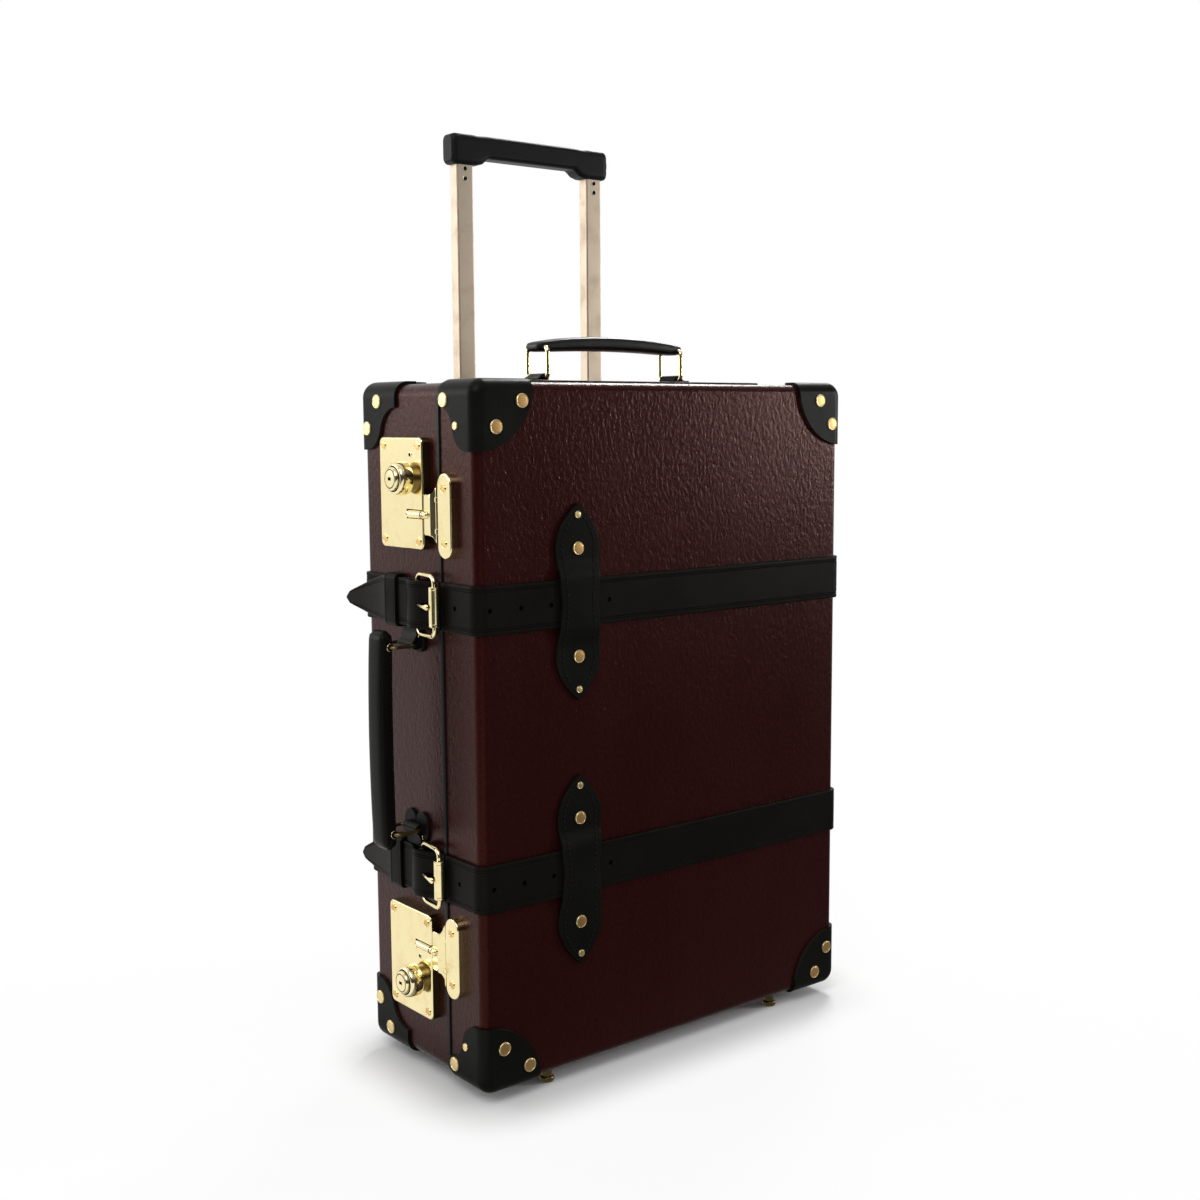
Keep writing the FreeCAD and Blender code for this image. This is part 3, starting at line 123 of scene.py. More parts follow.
class Graph:
    """A node tree being filled, for a material or for the world."""

    def __init__(self, tree: bpy.types.NodeTree) -> None:
        """Start on a tree."""
        self.tree = tree

    def put(self, node: bpy.types.Node, sockets: dict[str | int, object]) -> None:
        """Set or link sockets of a node.

        Args:
            node: the node.
            sockets: value or field for each input, by name or number.
        """
        for key, value in sockets.items():
            if isinstance(value, Field):
                self.tree.links.new(value.socket, node.inputs[key])
            else:
                node.inputs[key].default_value = value

    def node(self, kind: str, out: str | int = 0, settings: dict[str, object] | None = None,
             sockets: dict[str | int, object] | None = None) -> Field:
        """Add any shader node.

        Args:
            kind: node type without its prefix.
            out: output that is wanted.
            settings: properties, set first.
            sockets: values and links.

        Returns:
            The output as a field.
        """
        made = self.tree.nodes.new("ShaderNode" + kind)
        for key, value in (settings or {}).items():
            setattr(made, key, value)
        self.put(made, sockets or {})
        return Field(self.tree, made.outputs[out])

    def noise(self, spread: Spot, detail: float = 3.0, rough: float = 0.55, bent: float = 0.0) -> Field:
        """Noise over the object's own coordinates.

        Args:
            spread: features a metre along each axis.
            detail: octaves.
            rough: strength of the finer octaves.
            bent: distortion of the features.

        Returns:
            Noise from 0 to 1.
        """
        place = self.node("TexCoord", "Object")
        scaled = self.node("Mapping", 0, None, {"Vector": place, "Scale": spread})
        return self.node("TexNoise", "Fac", None,
                         {"Vector": scaled, "Scale": 1.0, "Detail": detail, "Roughness": rough,
                          "Distortion": bent})

    def cells(self, size: float) -> Field:
        """Distance to the nearest of so many cells a metre, over the object's own coordinates."""
        place = self.node("TexCoord", "Object")
        return self.node("TexVoronoi", "Distance", {"feature": "F1"}, {"Vector": place, "Scale": size})

    def ramp(self, value: Field, low: float, high: float, start: float = 0.0, end: float = 1.0) -> Field:
        """Smooth step of a value between two levels, from a start to an end."""
        return self.node("MapRange", 0, {"interpolation_type": "SMOOTHSTEP"},
                         {0: value, 1: low, 2: high, 3: start, 4: end})

    def blend(self, share: Field, first: Colour, second: Colour) -> Field:
        """Colour between two by a share from 0 to 1."""
        return self.node("Mix", 2, {"data_type": "RGBA"}, {0: share, 6: first, 7: second})


class Surface(Graph):
    """A material with one principled shader."""

    def __init__(self, title: str) -> None:
        """Start a material of this title."""
        self.material = bpy.data.materials.new(title)
        self.material.use_nodes = True
        super().__init__(self.material.node_tree)
        self.shader = self.tree.nodes["Principled BSDF"]

    def dress(self, height: Field | None = None, depth: float = 0.0,
              **sockets: object) -> bpy.types.Material:
        """Fill the shader's sockets.

        Args:
            height: relief from 0 to 1.
            depth: depth of the relief in metres.
            **sockets: shader inputs, spaces written as underscores.

        Returns:
            The finished material.
        """
        if height is not None:
            sockets["Normal"] = self.node("Bump", 0, None,
                                          {"Strength": 1.0, "Distance": depth, "Height": height})
        self.put(self.shader, {key.replace("_", " "): value for key, value in sockets.items()})
        return self.material


@dataclass(frozen=True)
class FibreFinish:
    """Vulcanised fibre: deep red, semi-gloss, wrinkled along the height of the case."""

    title: str = "fibre_finish"
    dark: Colour = (0.0095, 0.0014, 0.0016, 1)
    light: Colour = (0.0230, 0.0042, 0.0044, 1)
    gloss: float = 0.265
    relief: float = 0.00044
    shine: float = 0.24
    tint: Colour = (1.0, 0.30, 0.16, 1)

    def make(self) -> bpy.types.Material:
        """Make the material."""
        surface = Surface(self.title)
        wrinkle = surface.noise((330, 330, 210), 4.0, 0.55, 0.5)
        pits = surface.noise((1500, 1500, 900), 2.0)
        cloud = surface.noise((9, 9, 5), 3.0)
        colour = surface.blend(cloud * 0.7 + wrinkle * 0.3, self.dark, self.light)
        rough = cloud * 0.10 + wrinkle * 0.08 + (self.gloss - 0.08)
        return surface.dress(wrinkle * 0.85 + pits * 0.15, self.relief, Base_Color=colour,
                             Roughness=rough, Specular_IOR_Level=self.shine, Specular_Tint=self.tint)


@dataclass(frozen=True)
class LeatherFinish:
    """Leather with a pebbled grain and a dressed surface."""

    title: str = "leather_finish"
    dark: Colour = (0.0022, 0.0022, 0.0018, 1)
    light: Colour = (0.0095, 0.0092, 0.0074, 1)
    gloss: float = 0.30
    grain: float = 1150.0
    relief: float = 0.00006
    shine: float = 0.06

    def make(self) -> bpy.types.Material:
        """Make the material."""
        surface = Surface(self.title)
        pebble = surface.ramp(surface.cells(self.grain), 0.05, 0.75, 1.0, 0.0)
        crease = surface.noise((260, 260, 260), 4.0, 0.6)
        cloud = surface.noise((22, 22, 22), 3.0)
        colour = surface.blend(cloud * 0.65 + pebble * 0.25, self.dark, self.light)
        rough = cloud * 0.16 + (1.0 - pebble) * 0.10 + (self.gloss - 0.10)
        return surface.dress(pebble * 0.55 + crease * 0.45, self.relief, Base_Color=colour,
                             Roughness=rough, Specular_IOR_Level=self.shine)


@dataclass(frozen=True)
class MetalFinish:
    """Polished or satin metal with fine hair lines and faint tarnish."""

    title: str
    tone: Colour
    tarnish: Colour
    gloss: float = 0.16
    lines: Spot = (900, 900, 900)
    relief: float = 0.00001

    def make(self) -> bpy.types.Material:
        """Make the material."""
        surface = Surface(self.title)
        hair = surface.noise(self.lines, 3.0, 0.6)
        smear = surface.noise((55, 55, 55), 4.0, 0.65)
        worn = surface.ramp(smear, 0.42, 0.78)
        colour = surface.blend(worn * 0.55 + hair * 0.15, self.tone, self.tarnish)
        rough = hair * 0.08 + worn * 0.12 + (self.gloss - 0.04)
        return surface.dress(hair, self.relief, Base_Color=colour, Roughness=rough, Metallic=1.0)


@dataclass(frozen=True)
class PlasticFinish:
    """Moulded plastic with a fine spark-eroded texture."""

    title: str
    dark: Colour = (0.0034, 0.0034, 0.0037, 1)
    light: Colour = (0.0080, 0.0080, 0.0083, 1)
    gloss: float = 0.44
    grain: float = 1900.0
    relief: float = 0.00004
    shine: float = 0.15

    def make(self) -> bpy.types.Material:
        """Make the material."""
        surface = Surface(self.title)
        spark = surface.noise((self.grain, self.grain, self.grain), 2.0)
        cloud = surface.noise((14, 14, 14), 3.0)
        colour = surface.blend(cloud * 0.7 + spark * 0.3, self.dark, self.light)
        return surface.dress(spark, self.relief, Base_Color=colour,
                             Roughness=spark * 0.10 + cloud * 0.08 + (self.gloss - 0.08),
                             Specular_IOR_Level=self.shine)


@dataclass(frozen=True)
class ClothFinish:
    """Woven lining: two sets of threads that cross."""

    title: str
    warp: Colour = (0.30, 0.20, 0.11, 1)
    weft: Colour = (0.20, 0.125, 0.065, 1)
    pitch: float = 850.0
    relief: float = 0.00025

    def make(self) -> bpy.types.Material:
        """Make the material."""
        surface = Surface(self.title)
        place = surface.node("TexCoord", "Object")
        bands = [surface.node("TexWave", "Fac", {"wave_type": "BANDS", "bands_direction": way},
                              {"Vector": place, "Scale": self.pitch / 20.0, "Distortion": 0.6,
                               "Detail": 1.0, "Detail Scale": 3.0}) for way in ("DIAGONAL", "Z")]
        weave = bands[0] * bands[1]
        cloud = surface.noise((30, 30, 30), 3.0)
        colour = surface.blend(weave * 0.7 + cloud * 0.3, self.weft, self.warp)
        return surface.dress(weave, self.relief, Base_Color=colour,
                             Roughness=0.95 - cloud * 0.15, Sheen_Weight=0.2)


class Coat(Enum):
    """Finishes that a face can take."""

    FIBRE = FibreFinish()
    LEATHER = LeatherFinish()
    BELT = LeatherFinish("belt_leather_finish", (0.0028, 0.0027, 0.0023, 1),
                         (0.0085, 0.0072, 0.0056, 1), 0.34, 1500.0, 0.00005, 0.05)
    PADDED = LeatherFinish("padded_leather_finish", (0.0030, 0.0029, 0.0026, 1),
                           (0.0070, 0.0062, 0.0052, 1), 0.27, 1000.0, 0.00007, 0.07)
    POLISHED = LeatherFinish("polished_leather_finish", (0.0030, 0.0029, 0.0026, 1),
                             (0.0090, 0.0082, 0.0072, 1), 0.30, 1000.0, 0.00007, 0.30)
    # Lighter, shinier copy of the belt leather for the tail tip: a painted highlight where the tip
    # curves out from the case.
    LIT_BELT = LeatherFinish("lit_belt_leather_finish", (0.0110, 0.0098, 0.0080, 1),
                           (0.0290, 0.0255, 0.0210, 1), 0.48, 1500.0, 0.00006, 0.26)
    EDGE = LeatherFinish("cut_edge_finish", (0.008, 0.0068, 0.0052, 1),
                         (0.022, 0.018, 0.013, 1), 0.50, 2200.0, 0.00008, 0.18)
    THREAD = LeatherFinish("thread_finish", (0.0016, 0.0015, 0.0013, 1),
                           (0.0036, 0.0032, 0.0028, 1), 0.55, 2600.0, 0.00010, 0.15)
    BRASS = MetalFinish("brass_finish", (0.95, 0.83, 0.47, 1), (0.80, 0.62, 0.30, 1), 0.12)
    # Brass darkened as painted shade, for fittings that lie in shadow.
    SHADED_BRASS = MetalFinish("shaded_brass_finish", (0.20, 0.15, 0.06, 1),
                               (0.08, 0.055, 0.025, 1), 0.30)
    SATIN_BRASS = MetalFinish("satin_brass_finish", (0.95, 0.78, 0.42, 1),
                              (0.80, 0.58, 0.26, 1), 0.40)
    COPPER = MetalFinish("copper_finish", (0.80, 0.50, 0.20, 1), (0.54, 0.31, 0.11, 1), 0.42)
    NICKEL = MetalFinish("nickel_finish", (0.95, 0.94, 0.92, 1), (0.80, 0.78, 0.75, 1), 0.46)
    STEEL = MetalFinish("steel_finish", (0.60, 0.59, 0.57, 1), (0.42, 0.40, 0.38, 1), 0.25)
    ALUMINIUM = MetalFinish("aluminium_finish", (0.60, 0.50, 0.385, 1), (0.50, 0.41, 0.31, 1),
                            0.50, (3400, 3400, 7), 0.000012)
    PLASTIC = PlasticFinish("plastic_finish")
    BAND = PlasticFinish("band_finish", (0.004, 0.004, 0.004, 1), (0.010, 0.009, 0.009, 1), 0.34)
    TYRE = PlasticFinish("tyre_finish", (0.010, 0.010, 0.010, 1), (0.020, 0.020, 0.020, 1),
                         0.72, 900.0, 0.00012)
    # Near-black for holes, slots, grooves and hollow middles: painted shade.
    SHADOW = PlasticFinish("painted_shadow_finish", (0.0012, 0.0011, 0.0010, 1),
                           (0.0024, 0.0022, 0.0020, 1), 0.8)
    LINING = ClothFinish("lining_finish")


def catmull(points: Sequence[Vector], steps: int) -> list[Vector]:
    """Smooth line through points.

    Args:
        points: points that the line passes.
        steps: divisions between two of them.

    Returns:
        Points along the line.
    """
    ends = [2 * points[0] - points[1], *points, 2 * points[-1] - points[-2]]
    line = []
    for a, b, c, d in zip(ends, ends[1:], ends[2:], ends[3:]):
        for step in range(steps):
            t = step / steps
            line.append(0.5 * ((2 * b) + (c - a) * t + (2 * a - 5 * b + 4 * c - d) * t ** 2
                               + (3 * b - a - 3 * c + d) * t ** 3))
    return [*line, points[-1].copy()]


def rounded_line(corners: Sequence[Vector], radius: float, steps: int = 6,
                 closed: bool = False) -> list[Vector]:
    """Run along straight lines with round corners.

    Args:
        corners: corner points.
        radius: radius at each corner.
        steps: divisions of a corner.
        closed: whether the line returns to its start.

    Returns:
        Points along the line.
    """
    count = len(corners)
    line = [] if closed else [corners[0].copy()]
    for index in range(count) if closed else range(1, count - 1):
        before, at, after = corners[index - 1], corners[index], corners[(index + 1) % count]
        way_in, way_out = (before - at).normalized(), (after - at).normalized()
        half = way_in.angle(way_out) / 2
        centre = at + (way_in + way_out).normalized() * radius / math.sin(half)
        start = at + way_in * radius / math.tan(half) - centre
        turn = start.rotation_difference(at + way_out * radius / math.tan(half) - centre)
        for step in range(steps + 1):
            part = Matrix.Rotation(turn.angle * step / steps, 3, turn.axis)
            line.append(centre + part @ start)
    return [*line, line[0].copy()] if closed else [*line, corners[-1].copy()]


def stations(line: Sequence[Vector], across: Vector, closed: bool = False) -> list[Matrix]:
    """Frames along a line for a section to be drawn through.

    Args:
        line: points along the line.
        across: direction of the section's first axis.
        closed: whether the line returns to its start.

    Returns:
        A frame at each point, with its third axis along the line.
    """
    frames = []
    last = len(line) - 1
    for index, point in enumerate(line):
        before = line[index - 1] if index else (line[-2] if closed else point)
        after = line[index + 1] if index < last else (line[1] if closed else point)
        ahead = (after - before).normalized()
        side = (across - ahead * across.dot(ahead)).normalized()
        out = ahead.cross(side)
        frames.append(Matrix((side, out, ahead)).transposed().to_4x4())
        frames[-1].translation = point
    return frames


def sized(place: Matrix, wide: float, deep: float) -> Matrix:
    """Frame whose section is scaled across and outwards."""
    return place @ Matrix.Diagonal((wide, deep, 1.0, 1.0))


def eased(value: float, low: float, high: float) -> float:
    """Smooth step of a value, from 0 at a low level to 1 at a high one."""
    part = min(1.0, max(0.0, (value - low) / (high - low)))
    return part * part * (3 - 2 * part)


def rounding(part: float, start: float, least: float) -> float:
    """Share of the full size along a piece whose end rounds off from a start, down to the least."""
    return math.sqrt(max(least, 1.0 - max(0.0, (part - start) / (1.0 - start)) ** 2))


def mirrored(rows: Sequence[Point]) -> list[Point]:
    """Closed profile from its lower half: the rows, then the same rows mirrored in height."""
    return [*rows, *((reach, -up) for reach, up in reversed(rows)), rows[0]]


def sleeve(bore: float, out: float, long: float, ease: float = 0.4) -> list[Point]:
    """Closed profile of a sleeve with eased ends."""
    return [(bore, 0), (out - ease, 0), (out, ease), (out, long - ease), (out - ease, long),
            (bore, long), (bore, 0)]


class Form:
    """A bmesh in millimetres and the steps that shape it."""

    def __init__(self) -> None:
        """Start empty."""
        self.mesh = bmesh.new()

    def brick(self, low: Sequence[float], high: Sequence[float]) -> "Form":
        """Add a block between two corners."""
        made = bmesh.ops.create_cube(self.mesh, size=1.0)["verts"]
        low, high = Vector(low), Vector(high)
        bmesh.ops.scale(self.mesh, vec=high - low, verts=made)
        bmesh.ops.translate(self.mesh, vec=(low + high) / 2, verts=made)
        return self

    def ease(self, radius: float, steps: int, pick: EdgeTest) -> "Form":
        """Round the edges that a test picks.

        Args:
            radius: radius of the rounding.
            steps: divisions of the rounding.
            pick: test of an edge.

        Returns:
            The form.
        """
        edges = [edge for edge in self.mesh.edges if pick(edge)]
        bmesh.ops.bevel(self.mesh, geom=edges, offset=radius, offset_type="OFFSET", segments=steps,
                        profile=0.5, affect="EDGES", material=-1, clamp_overlap=True)
        return self

    def sweep(self, section: Sequence[Point], frames: Sequence[Matrix], closed: bool = False,
              index: int = 0) -> "Form":
        """Draw a closed section along frames.

        Args:
            section: points of the section, across and outwards.
            frames: where the section passes.
            closed: whether the last frame is the first again.
            index: finish of the faces.

        Returns:
            The form.
        """
        mesh = self.mesh
        old = set(mesh.faces)
        first = [mesh.verts.new(frames[0] @ Vector((a, b, 0))) for a, b in section]
        loop = [mesh.edges.new(pair) for pair in zip(first, first[1:] + first[:1])]
        made = set(first)
        if not closed:
            bmesh.ops.contextual_create(mesh, geom=loop)
        for before, after in zip(frames, frames[1:]):
            grown = bmesh.ops.extrude_edge_only(mesh, edges=loop)["geom"]
            fresh = {item for item in grown if isinstance(item, bmesh.types.BMVert)}
            loop = [item for item in grown if isinstance(item, Edge) and fresh.issuperset(item.verts)]
            bmesh.ops.transform(mesh, matrix=after @ before.inverted(), verts=list(fresh))
            made |= fresh
        if closed:
            bmesh.ops.remove_doubles(mesh, verts=list(made), dist=WELD)
        else:
            bmesh.ops.contextual_create(mesh, geom=loop)
        for face in set(mesh.faces) - old:
            face.material_index = index
        return self

    def turn(self, profile: Sequence[Point], at: Vector, axis: Vector, steps: int = 24,
             index: int = 0) -> "Form":
        """Turn a profile round an axis.

        Args:
            profile: radius and height of each point.
            at: foot of the axis.
            axis: direction of the axis.
            steps: divisions of the turn.
            index: finish of the faces.

        Returns:
            The form.
        """
        mesh = self.mesh
        old, before = set(mesh.faces), set(mesh.verts)
        side = axis.orthogonal().normalized()
        line = [mesh.verts.new(at + side * radius + axis * height) for radius, height in profile]
        edges = [mesh.edges.new(pair) for pair in zip(line, line[1:])]
        bmesh.ops.spin(mesh, geom=line + edges, cent=at, axis=axis, angle=math.tau, steps=steps,
                       use_merge=True, use_duplicate=False)
        bmesh.ops.remove_doubles(mesh, verts=list(set(mesh.verts) - before), dist=WELD)
        fresh = [face for face in mesh.faces if face not in old]
        for face in fresh:
            face.material_index = index
        bmesh.ops.recalc_face_normals(mesh, faces=fresh)
        return self

    def hollow(self, pick: FaceTest, wall: float) -> "Form":
        """Open the faces that a test picks and give the rest a wall.

        Args:
            pick: test of a face.
            wall: thickness of the wall.

        Returns:
            The form.
        """
        opened = [face for face in self.mesh.faces if pick(face)]
        bmesh.ops.delete(self.mesh, geom=opened, context="FACES_ONLY")
        bmesh.ops.recalc_face_normals(self.mesh, faces=self.mesh.faces[:])
        bmesh.ops.solidify(self.mesh, geom=self.mesh.faces[:], thickness=wall)
        return self

    def paint(self, index: int, pick: FaceTest) -> "Form":
        """Give the faces that a test picks another finish."""
        for face in self.mesh.faces:
            if pick(face):
                face.material_index = index
        return self

    def move(self, matrix: Matrix) -> "Form":
        """Move the whole form by a matrix."""
        bmesh.ops.transform(self.mesh, matrix=matrix, verts=self.mesh.verts[:])
        return self

    def add(self, other: "Form") -> "Form":
        """Take in a copy of another form."""
        copy = bpy.data.meshes.new("form")
        other.mesh.to_mesh(copy)
        self.mesh.from_mesh(copy)
        bpy.data.meshes.remove(copy)
        return self

    def stamp(self, other: "Form", places: Iterable[Matrix]) -> "Form":
        """Take in a copy of another form at each place."""
        copy = bpy.data.meshes.new("stamp")
        other.mesh.to_mesh(copy)
        for place in places:
            placed = copy.copy()
            placed.transform(place)
            self.mesh.from_mesh(placed)
            bpy.data.meshes.remove(placed)
        bpy.data.meshes.remove(copy)
        return self

    def carve(self, tool: "Form") -> "Form":
        """Cut the tool's shape out of the form.

        Args:
            tool: closed form that is taken away.

        Returns:
            The form.
        """
        body, cutter = self._loose("carved"), tool._loose("cutter")
        step = body.modifiers.new("carve", "BOOLEAN")
        step.operation, step.solver, step.object = "DIFFERENCE", "EXACT", cutter
        graph = bpy.context.evaluated_depsgraph_get()
        result = bpy.data.meshes.new_from_object(body.evaluated_get(graph))
        self.mesh.clear()
        self.mesh.from_mesh(result)
        for spare in (body, cutter):
            mesh = spare.data
            bpy.data.objects.remove(spare)
            bpy.data.meshes.remove(mesh)
        bpy.data.meshes.remove(result)
        return self

    def _loose(self, title: str) -> bpy.types.Object:
        """Make a passing object of the form."""
        mesh = bpy.data.meshes.new(title)
        self.mesh.to_mesh(mesh)
        made = bpy.data.objects.new(title, mesh)
        bpy.context.scene.collection.objects.link(made)
        return made


def along(axis: int) -> EdgeTest:
    """Test of an edge that runs along an axis."""
    return lambda edge: abs((edge.verts[0].co - edge.verts[1].co).normalized()[axis]) > 0.99


def at_level(axis: int, *levels: float) -> Callable[[Edge | Face], bool]:
    """Test of an edge or face that lies at one of some levels of an axis."""
    return lambda item: any(all(abs(vert.co[axis] - level) < NEAR for vert in item.verts)
                            for level in levels)


def slab(low: Sequence[float], high: Sequence[float], axis: int, corner: float, ease: float,
         ends: Sequence[float], steps: int = 6) -> Form:
    """Plate with round corners, and with its faces at some levels of its axis eased."""
    made = Form().brick(low, high).ease(corner, steps, along(axis))
    return made.ease(ease, 3, at_level(axis, *ends)) if ease else made


def ring(radius: float, steps: int = 12) -> list[Point]:
    """Round section."""
    return [(radius * math.cos(math.tau * step / steps), radius * math.sin(math.tau * step / steps))
            for step in range(steps)]


def pill(wide: float, thick: float, bend: float, steps: int = 3, creases: Sequence[float] = (),
         depth: float = 0.35) -> list[Point]:
    """Section of a strap: from 0 to its thickness, with round edges and creased lines.

    Args:
        wide: width.
        thick: thickness.
        bend: radius of the edges.
        steps: divisions of an edge.
        creases: distance of each creased line from the edges.
        depth: depth of a creased line.

    Returns:
        Points of the section.
    """
    half = wide / 2
    corners = [((-half + bend), bend, math.pi), (half - bend, bend, 1.5 * math.pi),
               (half - bend, thick - bend, 0.0), (-half + bend, thick - bend, 0.5 * math.pi)]
    points = []
    for number, (a, b, start) in enumerate(corners):
        for step in range(steps + 1):
            turn = start + 0.5 * math.pi * step / steps
            points.append((a + bend * math.cos(turn), b + bend * math.sin(turn)))
        if number == 2:
            for side, row in ((1, sorted(creases)), (-1, sorted(creases, reverse=True))):
                for inset in row:
                    middle = side * (half - inset)
                    points += [(middle + 0.5, thick), (middle, thick - depth), (middle - 0.5, thick)]
    return points


def rivet(radius: float, head: float, rim: int, dome: int, steps: int = 24) -> Form:
    """Rivet head on the plane z = 0: a domed middle in a raised rim.

    Args:
        radius: radius of the head.
        head: height of the head.
        rim: finish of the rim.
        dome: finish of the middle.
        steps: divisions of the turn.

    Returns:
        The head.
    """
    rows = [(1.0, -0.2), (1.0, 0.50), (0.97, 0.76), (0.92, 0.90), (0.86, 0.86), (0.83, 0.64),
            (0.81, 0.69), (0.79, 0.74), (0.74, 0.77), (0.50, 0.81), (0.26, 0.83), (0.0, 0.84)]
    made = Form().turn([(radius * a, head * b) for a, b in rows], Vector(), Z, steps, rim)
    limit = radius * 0.835
    return made.paint(dome, lambda face: face.calc_center_median().xy.length < limit)


def facing(way: Vector, spot: Sequence[float]) -> Matrix:
    """Place on a surface whose outward direction is given."""
    return Matrix.Translation(spot) @ Z.rotation_difference(way).to_matrix().to_4x4()


def stitches(form: Form, line: Sequence[Vector], out: Vector, pitch: float, index: int,
             thick: float = 0.42) -> None:
    """Sew a row of stitches along a line.

    Args:
        form: form that takes the stitches.
        line: points along the row.
        out: direction away from the leather.
        pitch: distance between stitches.
        index: finish of the thread.
        thick: half the thickness of the thread.
    """
    one = Form()
    bmesh.ops.create_uvsphere(one.mesh, u_segments=8, v_segments=6, radius=1.0)
    one.paint(index, lambda face: True)
    lengths = [(b - a).length for a, b in zip(line, line[1:])]
    count = max(1, int(sum(lengths) / pitch))
    places, walked, leg = [], 0.0, 0
    for number in range(count):
        goal = (number + 0.5) * sum(lengths) / count
        while walked + lengths[leg] < goal and leg < len(lengths) - 1:
            walked += lengths[leg]
            leg += 1
        ahead = (line[leg + 1] - line[leg]).normalized()
        spot = line[leg] + ahead * (goal - walked)
        lift = (out - ahead * out.dot(ahead)).normalized()
        place = Matrix((ahead, lift.cross(ahead), lift)).transposed().to_4x4()
        place.translation = spot
        places.append(place @ Matrix.Diagonal((pitch * 0.42, thick, thick * 0.9, 1.0)))
    form.stamp(one, places)


class Bench:
    """Makes materials once and turns forms into pieces of the model."""

    def __init__(self) -> None:
        """Start with no material made."""
        self.made: dict[Coat, bpy.types.Material] = {}

    def material(self, coat: Coat) -> bpy.types.Material:
        """Material of a finish."""
        if coat not in self.made:
            self.made[coat] = coat.value.make()
        return self.made[coat]

    def piece(self, title: str, form: Form, coats: Sequence[Coat], body: str, slot: str,
              nodes: Sequence[str] = (), sharp: float = 38.0, bevel: float = 0.0) -> bpy.types.Object:
        """Set a form on its body.

        Args:
            title: name of the piece.
            form: its shape in millimetres.
            coats: finishes by face number.
            body: body that it rides on.
            slot: record slot of its main material; not used.
            nodes: solids that it stands for.
            sharp: angle in degrees from which an edge stays sharp.
            bevel: width of a bevel on sharp edges in millimetres.

        Returns:
            The piece.
        """
        bmesh.ops.recalc_face_normals(form.mesh, faces=form.mesh.faces[:])
        form.move(Matrix.Scale(MM, 4))
        mesh = bpy.data.meshes.new(title)
        form.mesh.to_mesh(mesh)
        form.mesh.free()
        for coat in coats:
            mesh.materials.append(self.material(coat))
        mesh.polygons.foreach_set("use_smooth", [True] * len(mesh.polygons))
        mesh.set_sharp_from_angle(angle=math.radians(sharp))
        made = bpy.data.objects.new(title, mesh)
        bpy.context.scene.collection.objects.link(made)
        if bevel:
            step = made.modifiers.new("eased", "BEVEL")
            step.width, step.segments, step.limit_method = bevel * MM, 2, "ANGLE"
            step.angle_limit = math.radians(sharp)
        made.modifiers.new("even", "WEIGHTED_NORMAL").keep_sharp = True
        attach(made, body)
        if nodes:
            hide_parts(*nodes)
        log.info("%s: %d faces on %s", title, len(mesh.polygons), body)
        return made

    def keep(self, node: str, coat: Coat) -> None:
        """Give a solid that stays a finer material."""
        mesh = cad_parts[node].data
        mesh.materials.clear()
        mesh.materials.append(self.material(coat))
        log.info("%s: kept in %s", node, coat.name.lower())


def recast(node: str) -> Form:
    """Copy of a solid, welded, with its flat faces made whole."""
    form = Form()
    form.mesh.from_mesh(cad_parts[node].data)
    form.move(Matrix.Scale(1 / MM, 4))
    bmesh.ops.remove_doubles(form.mesh, verts=form.mesh.verts[:], dist=WELD * 20)
    bmesh.ops.dissolve_limit(form.mesh, angle_limit=math.radians(0.6), verts=form.mesh.verts[:],
                             edges=form.mesh.edges[:])
    return form


@dataclass
class Case:
    """Sizes that the sub-assemblies share, in millimetres."""

    half: float = 192.0
    front: float = -79.5
    back: float = 79.5
    low: float = 12.0
    high: float = 550.0
    lid_rim: float = -33.9
    base_rim: float = -29.3
    wall: float = 3.0
    corner: float = 10.0
    edge: float = 7.0
    strap_high: float = 382.5
    strap_low: float = 171.5

    def belt_line(self, start: Vector, end: Vector, deep: float) -> list[Vector]:
        """Line of a belt round one half of the case.

        Args:
            start: first point on one side wall.
            end: last point on the other side wall.
            deep: level of the face that the belt crosses.

        Returns:
            Points along the line.
        """
        corners = [start, Vector((start.x, deep, start.z)), Vector((end.x, deep, end.z)), end]
        return rounded_line(corners, self.edge, 8)


